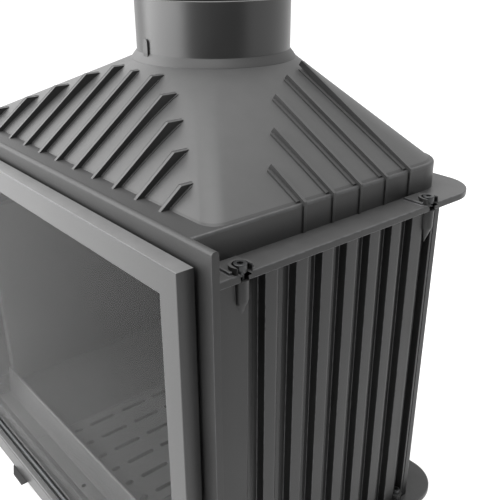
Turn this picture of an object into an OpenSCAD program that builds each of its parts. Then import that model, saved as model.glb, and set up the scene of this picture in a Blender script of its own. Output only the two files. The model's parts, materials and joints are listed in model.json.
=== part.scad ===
// Built-in fireplace insert in cast iron, with a side-hung glass door, a ribbed smoke hood and a flue collar.
// Millimetres. The door faces -Y and +Z is up. The origin is on the floor, in the middle of the outline.

/* [Front plate] */
// Width of the front plate
plate_w = 680; // [676:1:700]
// Thickness of the front plate
plate_t = 8; // [7:0.5:10]
// Height of the front plate's top above the hood's ledge
plate_rise = 6.5; // [4:0.5:12]
// Gap between the floor and the front plate
plate_lift = 3; // [1:0.5:6]
// Width of the fire opening
mouth_w = 582; // [560:1:584]
// Height of the fire opening's sill above the glass's lower edge
sill_rise = 29; // [20:0.5:34]
// Drop from the glass's upper edge to the top of the fire opening
mouth_drop = 10; // [6:0.5:30]
// Radius of the plate's soft top edges
plate_r = 3.5; // [1:0.5:3.5]

/* [Door] */
// Width of the door
door_w = 641.6; // [636:0.2:642]
// Depth of the door
door_t = 20; // [18:0.5:24]
// Height of the door's lower edge above the floor
door_low = 22; // [22:0.5:28]
// Bare front plate above the door
door_head = 18.5; // [12:0.5:30]
// Gap between the door and the front plate
door_gap = 2.3; // [1.5:0.1:3]
// Face width of the upright stiles
stile_w = 28; // [27:0.2:30]
// Face width of the rails
rail_w = 30; // [28:0.5:34]
// Thickness of the lip in front of the glass
lip_t = 8; // [6:0.5:9]
// Bevel round the lip's inner edge
lip_bevel = 1.5; // [0.5:0.1:3]
// Thickness of the ceramic glass
glass_t = 4; // [3:0.5:5]
// Overlap of the glass behind the lip
glass_lap = 8; // [6:0.5:9]
// Thickness of the front gasket tape
tape_t = 2; // [1:0.5:3]
// Thickness of the sheet that holds the glass
retainer_t = 2; // [1.5:0.5:3]
// Radius of the door's hinge pins
pin_r = 4; // [3.5:0.1:4.5]
// Wall of the hinge knuckles round the pin
knuckle_wall = 3; // [2.5:0.1:3.2]
// Height of one hinge knuckle
knuckle_h = 18; // [14:1:24]
// Distance from the door's edge to the hinge axis
hinge_out = 9.2; // [9:0.1:9.6]
// Distance from the front plate to the hinge axis
hinge_stand = 11; // [10.9:0.1:12]

/* [Door handle] */
// Distance from the door's edge to the spindle
spindle_in = 11.8; // [11.6:0.1:12.2]
// Height of the spindle above the door's lower edge
spindle_up = 218; // [200:1:240]
// Radius of the spindle
spindle_r = 4; // [3.5:0.1:4.2]
// Reach of the handle in front of the door
handle_reach = 46; // [42:1:60]
// Length from the spindle to the end of the grip
handle_l = 128; // [115:1:150]
// Largest radius of the grip
grip_r = 10; // [8:0.5:12]
// Length of the latch tongue from the spindle
tongue_l = 14; // [12:0.5:15]

/* [Body] */
// Width across the side walls
body_w = 644; // [640:1:646]
// Height of the walls
wall_h = 425; // [410:1:440]
// Thickness of the wall castings
wall_t = 7; // [6:0.5:8]
// Depth of the vertical grooves
groove_d = 9.5; // [8:0.5:11]
// Width of the raised pads
pad_w = 19.5; // [17:0.5:20]
// Spacing of the pads
pad_pitch = 35.3; // [35:0.1:36.5]
// Length of the flat part behind the front plate
flat_l = 46.9; // [44:0.1:50]
// Width of the first groove
first_groove = 20.1; // [16:0.1:24]
// Distance from the front plate to the flue axis
flue_set = 259.4; // [255:0.1:270]
// Distance from the flue axis to the top plate's rear edge
back_set = 147; // [140:1:160]
// Distance from the flue axis to the rear wall's outer face
rear_set = 125; // [122:1:130]
// Size of the slanted rear corners
rear_chamfer = 53; // [48:1:58]

/* [Top plate] */
// Width of the top plate
top_w = 654; // [650:1:660]
// Thickness of the top plate
top_t = 8; // [7:0.5:10]
// Radius of the top plate's rear corners
ear_r = 45; // [30:1:60]
// Distance from the front plate to the front corner screws
lug_front = 38.4; // [36:0.2:42]
// Height of the raised screw pads
lug_h = 3; // [2:0.5:5]

/* [Base] */
// Width of the base plate
base_w = 680; // [676:1:690]
// Thickness of the base plate
base_t = 8; // [7:0.5:10]
// Radius of the base plate's rear corners
base_r = 48; // [30:1:60]
// Distance from the flue axis to the base plate's rear edge
base_back = 132; // [130:1:140]
// Height of the base plate above the floor
leg_h = 92; // [90:1:100]
// Radius of the levelling bolts
leg_r = 6; // [5:0.5:8]
// Radius of the feet
foot_r = 20; // [16:0.5:24]

/* [Smoke hood] */
// Width of the hood
hood_w = 586; // [576:1:590]
// Height of the hood's upright band
band_h = 31; // [26:1:36]
// Depth of the flat ledge behind the front plate
ledge_d = 29.6; // [26:0.2:34]
// Height of the sloping part
slope_h = 97; // [88:1:110]
// Wall of the hood
hood_t = 6; // [5:0.5:8]
// Radius of the slope's front corners
slope_front_r = 18; // [12:1:30]
// Radius of the hood's rear corners
hood_rear_r = 45; // [30:1:60]
// Height of the flue collar
collar_h = 75; // [65:1:90]
// Outer radius of the flue collar
collar_r = 100; // [98:0.5:102]
// Wall of the flue collar at its rim
collar_t = 5; // [4:0.5:7]
// Thickness of the cooling ribs
rib_t = 4.5; // [3:0.5:6]
// Spacing of the front ribs
rib_pitch = 44; // [42:0.5:46]
// Distance from the front plate to the feet of the front ribs
rib_foot = 21.2; // [19:0.2:24]
// Spacing of the side ribs
side_pitch = 41.5; // [38:0.5:43]

/* [Firebox] */
// Height of the fire-resistant linings
liner_h = 320; // [300:1:330]
// Thickness of the linings
liner_t = 18; // [15:0.5:20]
// Thickness of the baffles
baffle_t = 12; // [10:0.5:15]
// Width of the grate
grate_w = 226; // [220:1:232]
// Length of the grate
grate_l = 230; // [226:1:240]
// Width of the slots in the grate
slot_w = 7; // [5:0.5:9]
// Length of the slots in the grate
slot_l = 44.5; // [40:0.5:48]
// Height of the log guard's ridge above the sill
guard_h = 46; // [40:0.5:52]
// Thickness of the sill strips
strip_t = 6; // [5:0.5:8]

/* [Air supply] */
// Travel of the air control
air_travel = 36; // [30:1:38]
// Width of an air window
window_w = 32; // [26:0.5:34]
// Thickness of the sheet steel
sheet_t = 3; // [2:0.5:3.5]
// Length of the air control's tab in front of the front plate
tab_reach = 30.8; // [28:0.2:34]
// Width of the air control's tab
tab_w = 50; // [44:1:54]

/* [Hidden] */
$fn = 48;

// Clearances: between pieces that move apart, round a turning pin, and past a surface that is cut
move_gap = 0.3;
run_gap = 0.05;
cut = 1;
// Thin slice that a blend starts or ends with
slice = 0.2;

// Levels above the floor
base_z = leg_h + base_t;
top_z = base_z + wall_h;
band_z = top_z + top_t;
ledge_z = band_z + band_h;
collar_z = ledge_z + slope_h;
rim_z = collar_z + collar_h;
plate_top = ledge_z + plate_rise;
door_top = plate_top - door_head;
glass_low = door_low + rail_w;
glass_top = door_top - rail_w;
sill_z = glass_low + sill_rise;
mouth_top = glass_top - mouth_drop;
strip_z = sill_z - strip_t;
spindle_z = door_low + spindle_up;

// Places from front to back
total_d = handle_reach + door_t + door_gap + plate_t + flue_set + back_set;
door_y = handle_reach - total_d / 2;
door_back = door_y + door_t;
plate_y = door_back + door_gap;
body_y = plate_y + plate_t;
flue_y = body_y + flue_set;
back_y = flue_y + back_set;
rear_y = flue_y + rear_set;

// Places across
wall_x = body_w / 2;
opening_x = door_w / 2 - stile_w;
spindle_x = door_w / 2 - spindle_in;
hinge_x = -door_w / 2 - hinge_out;
hinge_y = plate_y - hinge_stand;
knuckle_r = pin_r + knuckle_wall;

// Wall section: a groove has a shallow front part and a deep rear part
step_share = 0.45;
groove_step = 2.5;
step_d = groove_d - groove_step;
flank = 1.2;
post_w = 8;
wall_gap = 1.4;
wall_end = flue_set + rear_set - rear_chamfer - post_w - wall_gap;
pocket_rim = 6;
inner_v = groove_d + wall_t;
first_pitch = 39.4;
side_pads = 2 + floor((wall_end - flank - flat_l - first_groove - first_pitch) / pad_pitch);
rear_pads = 13;

// Screws: heads, sockets and shanks
corner_screw_r = 4;
base_screw_r = 3;
head_share = 1.625;
socket_share = 0.8;
socket_depth_share = 1.25;
shank_gap = 0.2;
boss_r = 8;
boss_h = 20;
thread_l = 15;
ear_in = 2;
base_boss_h = 14;
plate_screw_r = 3;
plate_head_r = 5.5;
plate_head_h = 3;
plate_screw_l = 26;
plate_lug_in = 14;
plate_lug_w = 16;
plate_lug_d = 14;
plate_lug_h = 20;
plate_lug_shares = [0.12, 0.88];

// Quarter of an outline's corners, from a start angle, as a list of points
function arc(cx, cy, r, a0, a1, n) = [for (i = [0:n]) [cx + r * cos(a0 + (a1 - a0) * i / n),
    cy + r * sin(a0 + (a1 - a0) * i / n)]];

// One groove in the wall's outer face, from u = a to u = b
function groove(a, b) = [[a, 0], [a + flank, -step_d], [a + step_share * (b - a), -step_d],
    [a + step_share * (b - a) + flank, -groove_d], [b - flank, -groove_d], [b, 0]];

// Front edge of side pad i, measured back from the front plate
function pad_u(i) = flat_l + first_groove + (i > 0 ? first_pitch + (i - 1) * pad_pitch : 0);

function side_face() = concat([[0, 0]], groove(flat_l, pad_u(0)),
    [for (i = [1:side_pads - 1]) each groove(pad_u(i - 1) + pad_w, pad_u(i))], [[wall_end, 0]]);

// Pocket behind the pad that runs from u = a to u = b
function pocket(a, b) = [[a + pocket_rim, -inner_v], [a + pocket_rim, -wall_t], [b - pocket_rim, -wall_t],
    [b - pocket_rim, -inner_v]];

function side_back() = concat([[0, -wall_t], [flat_l - wall_t, -wall_t], [flat_l - wall_t, -inner_v]],
    [for (i = [0:side_pads - 2]) each pocket(pad_u(i), pad_u(i) + pad_w)], [[wall_end, -inner_v]]);

function flip(list) = [for (i = [len(list) - 1:-1:0]) list[i]];

module box(x0, x1, y0, y1, z0, z1) {
    translate([x0, y0, z0]) cube([x1 - x0, y1 - y0, z1 - z0]);
}

module both_sides() {
    children();
    mirror([1, 0, 0]) children();
}

// Profile in Y and Z, pushed out along X from x0 to x1
module along_x(x0, x1) {
    translate([x0, 0, 0]) rotate([90, 0, 90]) linear_extrude(x1 - x0) children();
}

// Profile in X and Z, pushed out along Y from y0 to y1
module along_y(y0, y1) {
    translate([0, y1, 0]) rotate([90, 0, 0]) linear_extrude(y1 - y0) children();
}

// Cylinder along Y from y0 to y1
module rod_y(x, z, r, y0, y1) {
    translate([x, y0, z]) rotate([-90, 0, 0]) cylinder(r = r, h = y1 - y0);
}

// Flat plate with round rear corners
module round_plate(w, y0, y1, r, z0, z1) {
    translate([0, 0, z0]) linear_extrude(z1 - z0) union() {
        translate([-w / 2, y0]) square([w, y1 - y0 - r]);
        translate([-w / 2 + r, y0]) square([w - 2 * r, y1 - y0]);
        for (s = [-1, 1]) translate([s * (w / 2 - r), y1 - r]) circle(r);
    }
}

// Rectangular ring round the glass opening, from grow_in to grow_out outside it
module glass_ring(grow_in, grow_out, y0, y1) {
    difference() {
        box(-opening_x - grow_out, opening_x + grow_out, y0, y1, glass_low - grow_out, glass_top + grow_out);
        box(-opening_x - grow_in, opening_x + grow_in, y0 - cut, y1 + cut, glass_low - grow_in,
            glass_top + grow_in);
    }
}

// Socket head screw of shank radius r, standing on z, with its shank below
module cap_screw(x, y, z, r, shank_l) {
    translate([x, y, z]) difference() {
        union() {
            cylinder(r = r * head_share, h = 2 * r);
            translate([0, 0, -shank_l]) cylinder(r = r, h = shank_l + cut);
        }
        translate([0, 0, 2 * r - socket_depth_share * r])
            cylinder(r = r * socket_share, h = 2 * r, $fn = 6);
    }
}

// Front plate: bar with soft top edges, cut by the fire opening, the seal's channel and the small slots
seal_in = 2;
seal_w = 6.5;
seal_d = 4;
slot_gap = 1.2;
tongue_half = 5;
lever_gap = 1;
lever_drop = 4.7;
lever_z = door_low - lever_drop;

module front_plate() color([0.27, 0.28, 0.29]) difference() {
    along_x(-plate_w / 2, plate_w / 2) union() {
        translate([plate_y, plate_lift]) square([plate_t, plate_top - plate_lift - plate_r]);
        translate([plate_y + plate_r, plate_lift]) square([plate_t - 2 * plate_r, plate_top - plate_lift]);
        translate([plate_y + plate_r, plate_top - plate_r]) circle(plate_r);
        translate([body_y - plate_r, plate_top - plate_r]) circle(plate_r);
    }
    box(-mouth_w / 2, mouth_w / 2, plate_y - cut, body_y + cut, sill_z, mouth_top);
    glass_ring(seal_in, seal_in + seal_w, plate_y - cut, plate_y + seal_d);
    latch_slot();
    box(lever_x0() - lever_gap, lever_x0() + tab_w + air_travel + lever_gap, plate_y - cut, body_y + cut,
        lever_z - lever_gap / 2, lever_z + sheet_t + lever_gap / 2);
    for (s = [-1, 1], z = plate_lug_z()) {
        rod_y(s * plate_screw_x(), z, plate_screw_r + shank_gap, plate_y - cut, body_y + cut);
        plate_sink(s, z, plate_head_r);
    }
    for (z = bracket_z(), e = [-1, 1])
        rod_y(flange_x(), z + e * flange_pitch / 2, flange_screw_r, plate_y - cut, body_y + cut);
}

// Slot that the upright latch tongue passes when the door opens
module latch_slot() {
    half = tongue_half + slot_gap;
    box(spindle_x - half, spindle_x + half, plate_y - cut, body_y + cut, spindle_z - tongue_l - slot_gap,
        spindle_z + half);
}

function plate_screw_x() = wall_x - plate_lug_in;
function plate_lug_z() = [for (s = plate_lug_shares) base_z + s * wall_h];

module plate_sink(side, z, r) {
    translate([side * plate_screw_x(), plate_y, z]) rotate([-90, 0, 0])
        cylinder(r1 = r, r2 = plate_screw_r, h = plate_head_h);
}

module plate_screws() color([0.35, 0.35, 0.36]) for (s = [-1, 1], z = plate_lug_z()) difference() {
    union() {
        plate_sink(s, z, plate_head_r);
        rod_y(s * plate_screw_x(), z, plate_screw_r, plate_y, plate_y + plate_screw_l);
    }
    rod_y(s * plate_screw_x(), z, plate_screw_r / 2, plate_y - cut, plate_y + plate_head_h / 2);
}

// Smoke hood: upright band, sloping dome, collar and ribs as one casting, hollow inside
soft_edge = 3;
dome_r = 107;
collar_swell = 3.5;
straight_share = 0.42;
flare_share = 0.85;
flare_r = 112;
rib_slope = 0.815;
rib_top_step = 19;
rib_low_top = 20.7;
rib_high_top = 91;
rib_count = 5;
rib_root = 20;
side_rib_start = 143.4;
side_rib_shares = [0.28, 0.50, 0.76, 0.90, 1];
side_rib_end_share = 0.005;
side_rib_proud = 3.5;
side_rib_crest = 3.6;
boss_swing = -98;
spigot_boss_r = 8;
spigot_boss_top = 38;

// Outline of the hood's band, drawn in by inset
module band_outline(inset) {
    corner_x = hood_w / 2 - hood_rear_r;
    y0 = body_y + inset;
    union() {
        translate([-hood_w / 2 + inset, y0]) square([hood_w - 2 * inset, rear_y - hood_rear_r - y0]);
        translate([-corner_x, y0]) square([2 * corner_x, rear_y - inset - y0]);
        for (s = [-1, 1]) translate([s * corner_x, rear_y - hood_rear_r]) circle(hood_rear_r - inset);
    }
}

// Blend from the slope's foot to the round collar, drawn in by a wall thickness
module dome(inset, z0, z1, top_r) {
    front_x = hood_w / 2 - soft_edge - slope_front_r;
    hull() {
        translate([0, 0, z0]) for (s = [-1, 1]) {
            translate([s * front_x, body_y + ledge_d + slope_front_r])
                cylinder(r = slope_front_r - inset, h = slice, $fn = 32);
            translate([s * (hood_w / 2 - hood_rear_r), rear_y - hood_rear_r])
                cylinder(r = hood_rear_r - soft_edge - inset, h = slice, $fn = 32);
        }
        translate([0, flue_y, z1 - slice]) cylinder(r = top_r, h = slice, $fn = 64);
    }
}

module collar() {
    straight_z = rim_z - straight_share * collar_h;
    flare_z = rim_z - flare_share * collar_h;
    foot_z = collar_z - soft_edge;
    swell_r = collar_r + collar_swell;
    translate([0, flue_y, 0]) rotate_extrude($fn = 96) polygon(concat(
        [[0, foot_z], [flare_r, foot_z]],
        [for (i = [0:6]) [flare_r - (flare_r - swell_r) * sin(15 * i),
            flare_z - (flare_z - foot_z) * cos(15 * i)]],
        [[collar_r, straight_z], [collar_r, rim_z], [0, rim_z]]));
}

// Small upright boss with a round top on the collar's foot
module collar_boss() {
    x = (collar_r - collar_t / 2) * cos(boss_swing);
    y = flue_y + (collar_r - collar_t / 2) * sin(boss_swing);
    translate([x, y, collar_z - soft_edge]) cylinder(r = spigot_boss_r, h = spigot_boss_top);
    translate([x, y, collar_z - soft_edge + spigot_boss_top]) sphere(spigot_boss_r);
}

// Front rib: its crest runs parallel to the slope, and its top end is cut level
module front_rib(i) {
    crest_h = min(rib_high_top, rib_low_top + rib_top_step * (rib_count - abs(i)));
    y0 = body_y + rib_foot;
    crest_y = y0 + crest_h / rib_slope;
    along_x(i * rib_pitch - rib_t / 2, i * rib_pitch + rib_t / 2)
        polygon([[y0, ledge_z - hood_t], [y0, ledge_z], [crest_y, ledge_z + crest_h],
            [crest_y + rib_root, ledge_z + crest_h], [crest_y + rib_root, ledge_z - hood_t]]);
}

// Side rib: an upright ridge on the band that goes on up the slope and runs out into it
module side_rib(i) {
    y = body_y + side_rib_start + i * side_pitch;
    x0 = hood_w / 2 + side_rib_proud;
    run = side_rib_shares[i] * (hood_w / 2 - dome_r);
    rise = side_rib_shares[i] * slope_h;
    along_y(y - rib_t / 2, y + rib_t / 2) polygon([[x0 - 2 * side_rib_proud - soft_edge, band_z], [x0, band_z],
        [x0, ledge_z + side_rib_crest], [hood_w / 2 - run, ledge_z + rise + side_rib_end_share * run],
        [hood_w / 2 - run - hood_t, ledge_z + rise - hood_t], [x0 - hood_t * 2, ledge_z - hood_t]]);
}

module smoke_hood() color([0.42, 0.43, 0.44]) difference() {
    union() {
        hull() {
            translate([0, 0, band_z]) linear_extrude(band_h - soft_edge) band_outline(0);
            translate([0, 0, ledge_z - slice]) linear_extrude(slice) band_outline(soft_edge);
        }
        dome(0, ledge_z - slice, collar_z, dome_r);
        collar();
        collar_boss();
        for (i = [-rib_count:rib_count]) front_rib(i);
        both_sides() for (i = [0:len(side_rib_shares) - 1]) side_rib(i);
    }
    translate([0, 0, band_z - cut]) linear_extrude(band_h - hood_t + cut) band_outline(hood_t);
    dome(hood_t, ledge_z - hood_t - slice, collar_z - hood_t / 2, dome_r - hood_t);
    translate([0, flue_y, ledge_z]) cylinder(r = collar_r - collar_t, h = rim_z - ledge_z + cut, $fn = 96);
}

// Top plate: flat, with round rear ears, a smoke opening and four slotted screw pads
smoke_rim = 10;
pad_half = 14;
rim_r = 11;
rim_hole_r = 8;
rim_h = 4;
slot_half = 4.5;

function lug_x() = wall_x - ear_in;
function lug_rear() = (pad_u(side_pads - 2) + pad_w + pad_u(side_pads - 1)) / 2;
function lug_places() = [body_y + lug_front, body_y + lug_rear()];
function base_lug_places() = [body_y + flat_l + first_groove / 2, body_y + lug_rear()];

module top_plate() color([0.33, 0.34, 0.35]) difference() {
    union() {
        round_plate(top_w, body_y, back_y, ear_r, top_z, band_z);
        both_sides() for (y = lug_places()) {
            box(hood_w / 2 + side_rib_proud + move_gap, lug_x() + ear_in, y - pad_half, y + pad_half,
                band_z - cut, band_z + lug_h);
            translate([lug_x(), y, band_z - cut]) cylinder(r = rim_r, h = cut + lug_h + rim_h);
        }
    }
    box(-hood_w / 2 + smoke_rim + hood_t, hood_w / 2 - smoke_rim - hood_t, body_y + smoke_rim + hood_t,
        rear_y - inner_v - smoke_rim, top_z - cut, band_z + cut);
    both_sides() for (y = lug_places()) {
        translate([lug_x(), y, band_z]) cylinder(r = rim_hole_r, h = lug_h + rim_h + cut);
        box(lug_x(), top_w, y - rim_hole_r, y + rim_hole_r, band_z, band_z + lug_h + rim_h + cut);
        translate([lug_x(), y, top_z - cut]) cylinder(r = slot_half, h = top_t + 2 * cut);
        box(lug_x(), top_w, y - slot_half, y + slot_half, top_z - cut, band_z + cut);
    }
}

module corner_screws() color([0.3, 0.3, 0.31]) both_sides() for (y = lug_places())
    cap_screw(lug_x(), y, band_z, corner_screw_r, top_t + thread_l);

// Side wall: deep upright grooves between raised pads, with screw bosses and lugs
module wall_section() {
    outer = [for (p = side_face()) [wall_x + p[1], body_y + p[0]]];
    inner = [for (p = side_back()) [wall_x + p[1], body_y + p[0]]];
    polygon(concat(outer, flip(inner)));
}

module side_wall() difference() {
    union() {
        translate([0, 0, base_z]) linear_extrude(wall_h) wall_section();
        for (y = lug_places()) {
            translate([lug_x(), y, top_z - boss_h]) cylinder(r = boss_r, h = boss_h);
            translate([lug_x(), y, top_z - 2 * boss_h]) cylinder(r1 = slice, r2 = boss_r, h = boss_h);
        }
        for (y = base_lug_places()) {
            translate([lug_x(), y, base_z]) cylinder(r = boss_r, h = base_boss_h);
            box(wall_x - inner_v + wall_t / 2, lug_x(), y - boss_r, y + boss_r, base_z, base_z + base_boss_h);
        }
        for (z = plate_lug_z()) box(plate_screw_x() - plate_lug_w / 2, wall_x - wall_t / 2, body_y,
            body_y + plate_lug_d, z - plate_lug_h / 2, z + plate_lug_h / 2);
        for (u = ledge_places()) box(wall_x - inner_v - shelf_d, wall_x - inner_v + wall_t / 2, body_y + u,
            body_y + u + shelf_l, shelf_z() - shelf_t, shelf_z());
    }
    for (y = lug_places()) translate([lug_x(), y, top_z - thread_l - cut])
        cylinder(r = corner_screw_r + shank_gap, h = thread_l + 2 * cut);
    for (y = base_lug_places()) translate([lug_x(), y, base_z - cut])
        cylinder(r = base_screw_r + shank_gap, h = base_boss_h + 2 * cut);
    for (z = plate_lug_z()) rod_y(plate_screw_x(), z, plate_screw_r + shank_gap, body_y - cut,
        body_y + plate_lug_d + cut);
}

module side_wall_right() color([0.3, 0.31, 0.32]) side_wall();
module side_wall_left() color([0.3, 0.31, 0.32]) mirror([1, 0, 0]) side_wall();

// Rear wall: the same grooves across the back, with slanted corners that end in upright posts
function rear_u(i) = (i - (rear_pads - 1) / 2) * pad_pitch - pad_w / 2;

module rear_wall() color([0.3, 0.31, 0.32]) {
    post_y = body_y + wall_end + wall_gap;
    corner_x = wall_x - rear_chamfer;
    corner_y = rear_y - rear_chamfer;
    diag = post_w * sqrt(2);
    inner_y = rear_y - inner_v;
    face = [for (i = [1:rear_pads - 1]) each [for (p = groove(rear_u(i - 1) + pad_w, rear_u(i)))
        [p[0], rear_y + p[1]]]];
    back = [for (i = [0:rear_pads - 1]) each [for (p = pocket(rear_u(i), rear_u(i) + pad_w))
        [p[0], rear_y + p[1]]]];
    translate([0, 0, base_z]) linear_extrude(wall_h) polygon(concat(
        [[-wall_x, post_y], [-wall_x, corner_y], [-corner_x, rear_y]], face,
        [[corner_x, rear_y], [wall_x, corner_y], [wall_x, post_y], [wall_x - post_w, post_y],
            [wall_x - post_w, corner_y + post_w - diag],
            [wall_x + corner_y - diag - inner_y, inner_y]],
        flip(back),
        [[-wall_x - corner_y + diag + inner_y, inner_y], [-wall_x + post_w, corner_y + post_w - diag],
            [-wall_x + post_w, post_y]]));
}

// Base plate: wide plate with a sunk seat for the grate, bolt bosses and a bay for the sill strips and guard
grate_rim = 8;
grate_gap = 0.5;
seat_t = min(base_t, leg_h - strip_z - move_gap);
leg_x = 300;
leg_front = 100;
leg_rear = 350;
leg_boss_r = 14;
leg_boss_h = 24;
nut_r = 11;
nut_h = 8;
foot_h = 6;
strip_d = 19.1;
guard_lean = 5;
ridge_r = 2.5;
guard_d = guard_lean + 2 * ridge_r;
grate_back = 5.7;
bay_x = mouth_w / 2 + seal_w / 2;

function guard_y() = body_y + strip_d + move_gap;
function hearth_y() = guard_y() + guard_d + move_gap;
function grate_y() = hearth_y() + grate_back;
function leg_places() = [for (s = [-1, 1], u = [leg_front, leg_rear]) [s * leg_x, body_y + u]];

module base_plate() color([0.3, 0.31, 0.32]) difference() {
    union() {
        round_plate(base_w, body_y, flue_y + base_back, base_r, leg_h, base_z);
        box(-grate_w / 2 - grate_rim, grate_w / 2 + grate_rim, hearth_y(), grate_y() + grate_l + grate_rim,
            leg_h - seat_t, base_z);
        for (p = leg_places()) translate([p[0], p[1], leg_h - leg_boss_h])
            cylinder(r = leg_boss_r, h = leg_boss_h + base_t);
    }
    box(-bay_x - move_gap, bay_x + move_gap, body_y - cut, hearth_y(), leg_h - cut, base_z + cut);
    box(-grate_w / 2 - grate_gap, grate_w / 2 + grate_gap, grate_y() - grate_gap,
        grate_y() + grate_l + grate_gap, leg_h, base_z + cut);
    box(-grate_w / 2 + grate_rim, grate_w / 2 - grate_rim, grate_y() + grate_rim,
        grate_y() + grate_l - grate_rim, leg_h - seat_t - cut, base_z);
    for (p = leg_places()) translate([p[0], p[1], leg_h - leg_boss_h - cut])
        cylinder(r = leg_r, h = leg_boss_h + base_t + 2 * cut);
    both_sides() for (y = base_lug_places()) translate([lug_x(), y, leg_h - cut])
        cylinder(r = base_screw_r + shank_gap, h = base_t + 2 * cut);
}

module base_screws() color([0.3, 0.3, 0.31]) both_sides() for (y = base_lug_places())
    cap_screw(lug_x(), y, base_z + base_boss_h, base_screw_r, base_boss_h + base_t);

// Levelling bolts with turned feet, and the nuts that lock them
module levelling_bolts() color([0.45, 0.45, 0.46]) for (p = leg_places()) translate([p[0], p[1], 0])
    rotate_extrude() polygon([[0, 0], [foot_r, 0], [foot_r, foot_h / 2], [leg_r + cut, foot_h],
        [leg_r, foot_h + cut], [leg_r, base_z - cut], [leg_r - cut, base_z], [0, base_z]]);

module lock_nuts() color([0.45, 0.45, 0.46]) for (p = leg_places())
    translate([p[0], p[1], leg_h - leg_boss_h - nut_h]) difference() {
        cylinder(r = nut_r, h = nut_h, $fn = 6);
        translate([0, 0, -cut]) cylinder(r = leg_r, h = nut_h + 2 * cut);
    }

// Sill strips: three flat castings in a row behind the fire opening's sill
strip_joint = 0.8;
strip_half = 140;
strip_hole_r = 3.5;
strip_hole_share = 0.4;

module sill_strips() color([0.36, 0.37, 0.38]) {
    end = strip_half + strip_joint / 2;
    inner = strip_half - strip_joint / 2;
    for (x = [[-bay_x, -end], [-inner, inner], [end, bay_x]]) difference() {
        box(x[0], x[1], body_y, body_y + strip_d, strip_z, sill_z);
        translate([0, body_y + strip_hole_share * strip_d, strip_z - cut])
            cylinder(r = strip_hole_r, h = strip_t + 2 * cut);
    }
}

// Log guard: a cove that rises from the strips to a round ridge and stops logs rolling against the glass
module log_guard() color([0.38, 0.39, 0.4]) {
    y0 = guard_y();
    ridge_y = y0 + guard_lean + ridge_r;
    ridge_z = sill_z + guard_h - ridge_r;
    along_x(-bay_x, bay_x) polygon(concat(
        [[y0, strip_z + move_gap], [y0, sill_z]],
        [for (i = [1:7]) [y0 + guard_lean * sin(90 * i / 8), sill_z + (ridge_z - sill_z) * (1 - cos(90 * i / 8))]],
        arc(ridge_y, ridge_z, ridge_r, 180, 0, 8),
        [[y0 + guard_d, strip_z + move_gap]]));
}

// Grate: flat casting with straight rows of round-ended slots
slot_pitch_x = 37.6;
slot_pitch_y = 57.7;
slot_count_x = 6;
slot_count_y = 5;
slot_margin = 10;
grate_t = base_t - move_gap;

module grate_slot(x, y0, y1) {
    for (y = [y0 + slot_w / 2, y1 - slot_w / 2]) translate([x, y]) circle(slot_w / 2);
    translate([x - slot_w / 2, y0 + slot_w / 2]) square([slot_w, y1 - y0 - slot_w]);
}

module grate() color([0.3, 0.31, 0.32]) {
    y_mid = grate_y() + grate_l / 2;
    translate([0, 0, base_z - grate_t]) linear_extrude(grate_t) difference() {
        translate([-grate_w / 2, grate_y()]) square([grate_w, grate_l]);
        for (c = [0:slot_count_x - 1], r = [0:slot_count_y - 1]) {
            x = (c - (slot_count_x - 1) / 2) * slot_pitch_x;
            y = y_mid + (r - (slot_count_y - 1) / 2) * slot_pitch_y;
            grate_slot(x, max(y - slot_l / 2, grate_y() + slot_margin),
                min(y + slot_l / 2, grate_y() + grate_l - slot_margin));
        }
    }
}

// Linings: plain fire-resistant boards that stand on the hearth
lining_front = 31;
lining_gap = 0.5;
shelf_d = 6;
shelf_l = 40;
shelf_t = 8;
shelf_drop = 38;

function liner_x() = wall_x - inner_v - lining_gap;
function liner_back() = rear_y - inner_v - lining_gap;
function shelf_z() = top_z - shelf_drop;
function ledge_places() = [flat_l, flat_l + 3 * pad_pitch];

module lining() box(liner_x() - liner_t, liner_x(), body_y + lining_front,
    liner_back() - rear_chamfer + inner_v, base_z, base_z + liner_h);

module lining_right() color([0.2, 0.2, 0.2]) lining();
module lining_left() color([0.2, 0.2, 0.2]) mirror([1, 0, 0]) lining();
module lining_rear() color([0.2, 0.2, 0.2]) box(-liner_x() + rear_chamfer - inner_v,
    liner_x() - rear_chamfer + inner_v, liner_back() - liner_t, liner_back(), base_z, base_z + liner_h);

// Baffles: the lower lies on the linings, the upper on the walls' shelves, with staggered gaps for the smoke
baffle_gap = 1;
smoke_gap = 80;
baffle_rib_w = 10;

module lower_baffle() color([0.25, 0.25, 0.25]) {
    x = liner_x() - baffle_gap;
    z = base_z + liner_h;
    box(-x, x, body_y + lining_front + smoke_gap, liner_back() - rear_chamfer + inner_v, z, z + baffle_t);
    box(rear_chamfer - x, x - rear_chamfer, liner_back() - rear_chamfer + inner_v - cut,
        liner_back() - liner_t, z, z + baffle_t);
    box(-x, x, body_y + lining_front + smoke_gap, body_y + lining_front + smoke_gap + baffle_rib_w, z,
        z + 2 * baffle_t);
}

module upper_baffle() color([0.25, 0.25, 0.25]) box(-liner_x() + baffle_gap, liner_x() - baffle_gap,
    body_y + lining_front, rear_y - inner_v - smoke_gap, shelf_z(), shelf_z() + baffle_t);

// Air box under the sill, with windows in its floor, and the ash box behind it
air_x = 292;
air_d = 69.4;
ash_x = 125;
ash_z = 14;
ash_window_z = 40;
ash_window_h = 22;
shutter_front = 10;
shutter_d = 50;
window_d = 26;
window_pitch = 70;
window_count = 4;
rail_in = 4;
lever_left = 180;
shutter_right = 150;

function lever_x0() = -lever_left;
function air_back() = body_y + air_d;
function window_x(i) = (i - (window_count - 1) / 2) * window_pitch;
function shutter_y() = body_y + shutter_front;

module air_windows(z0, z1) {
    for (i = [0:window_count - 1]) box(window_x(i) - window_w / 2, window_x(i) + window_w / 2,
        shutter_y() + (shutter_d - window_d) / 2, shutter_y() + (shutter_d + window_d) / 2, z0, z1);
}

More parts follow.
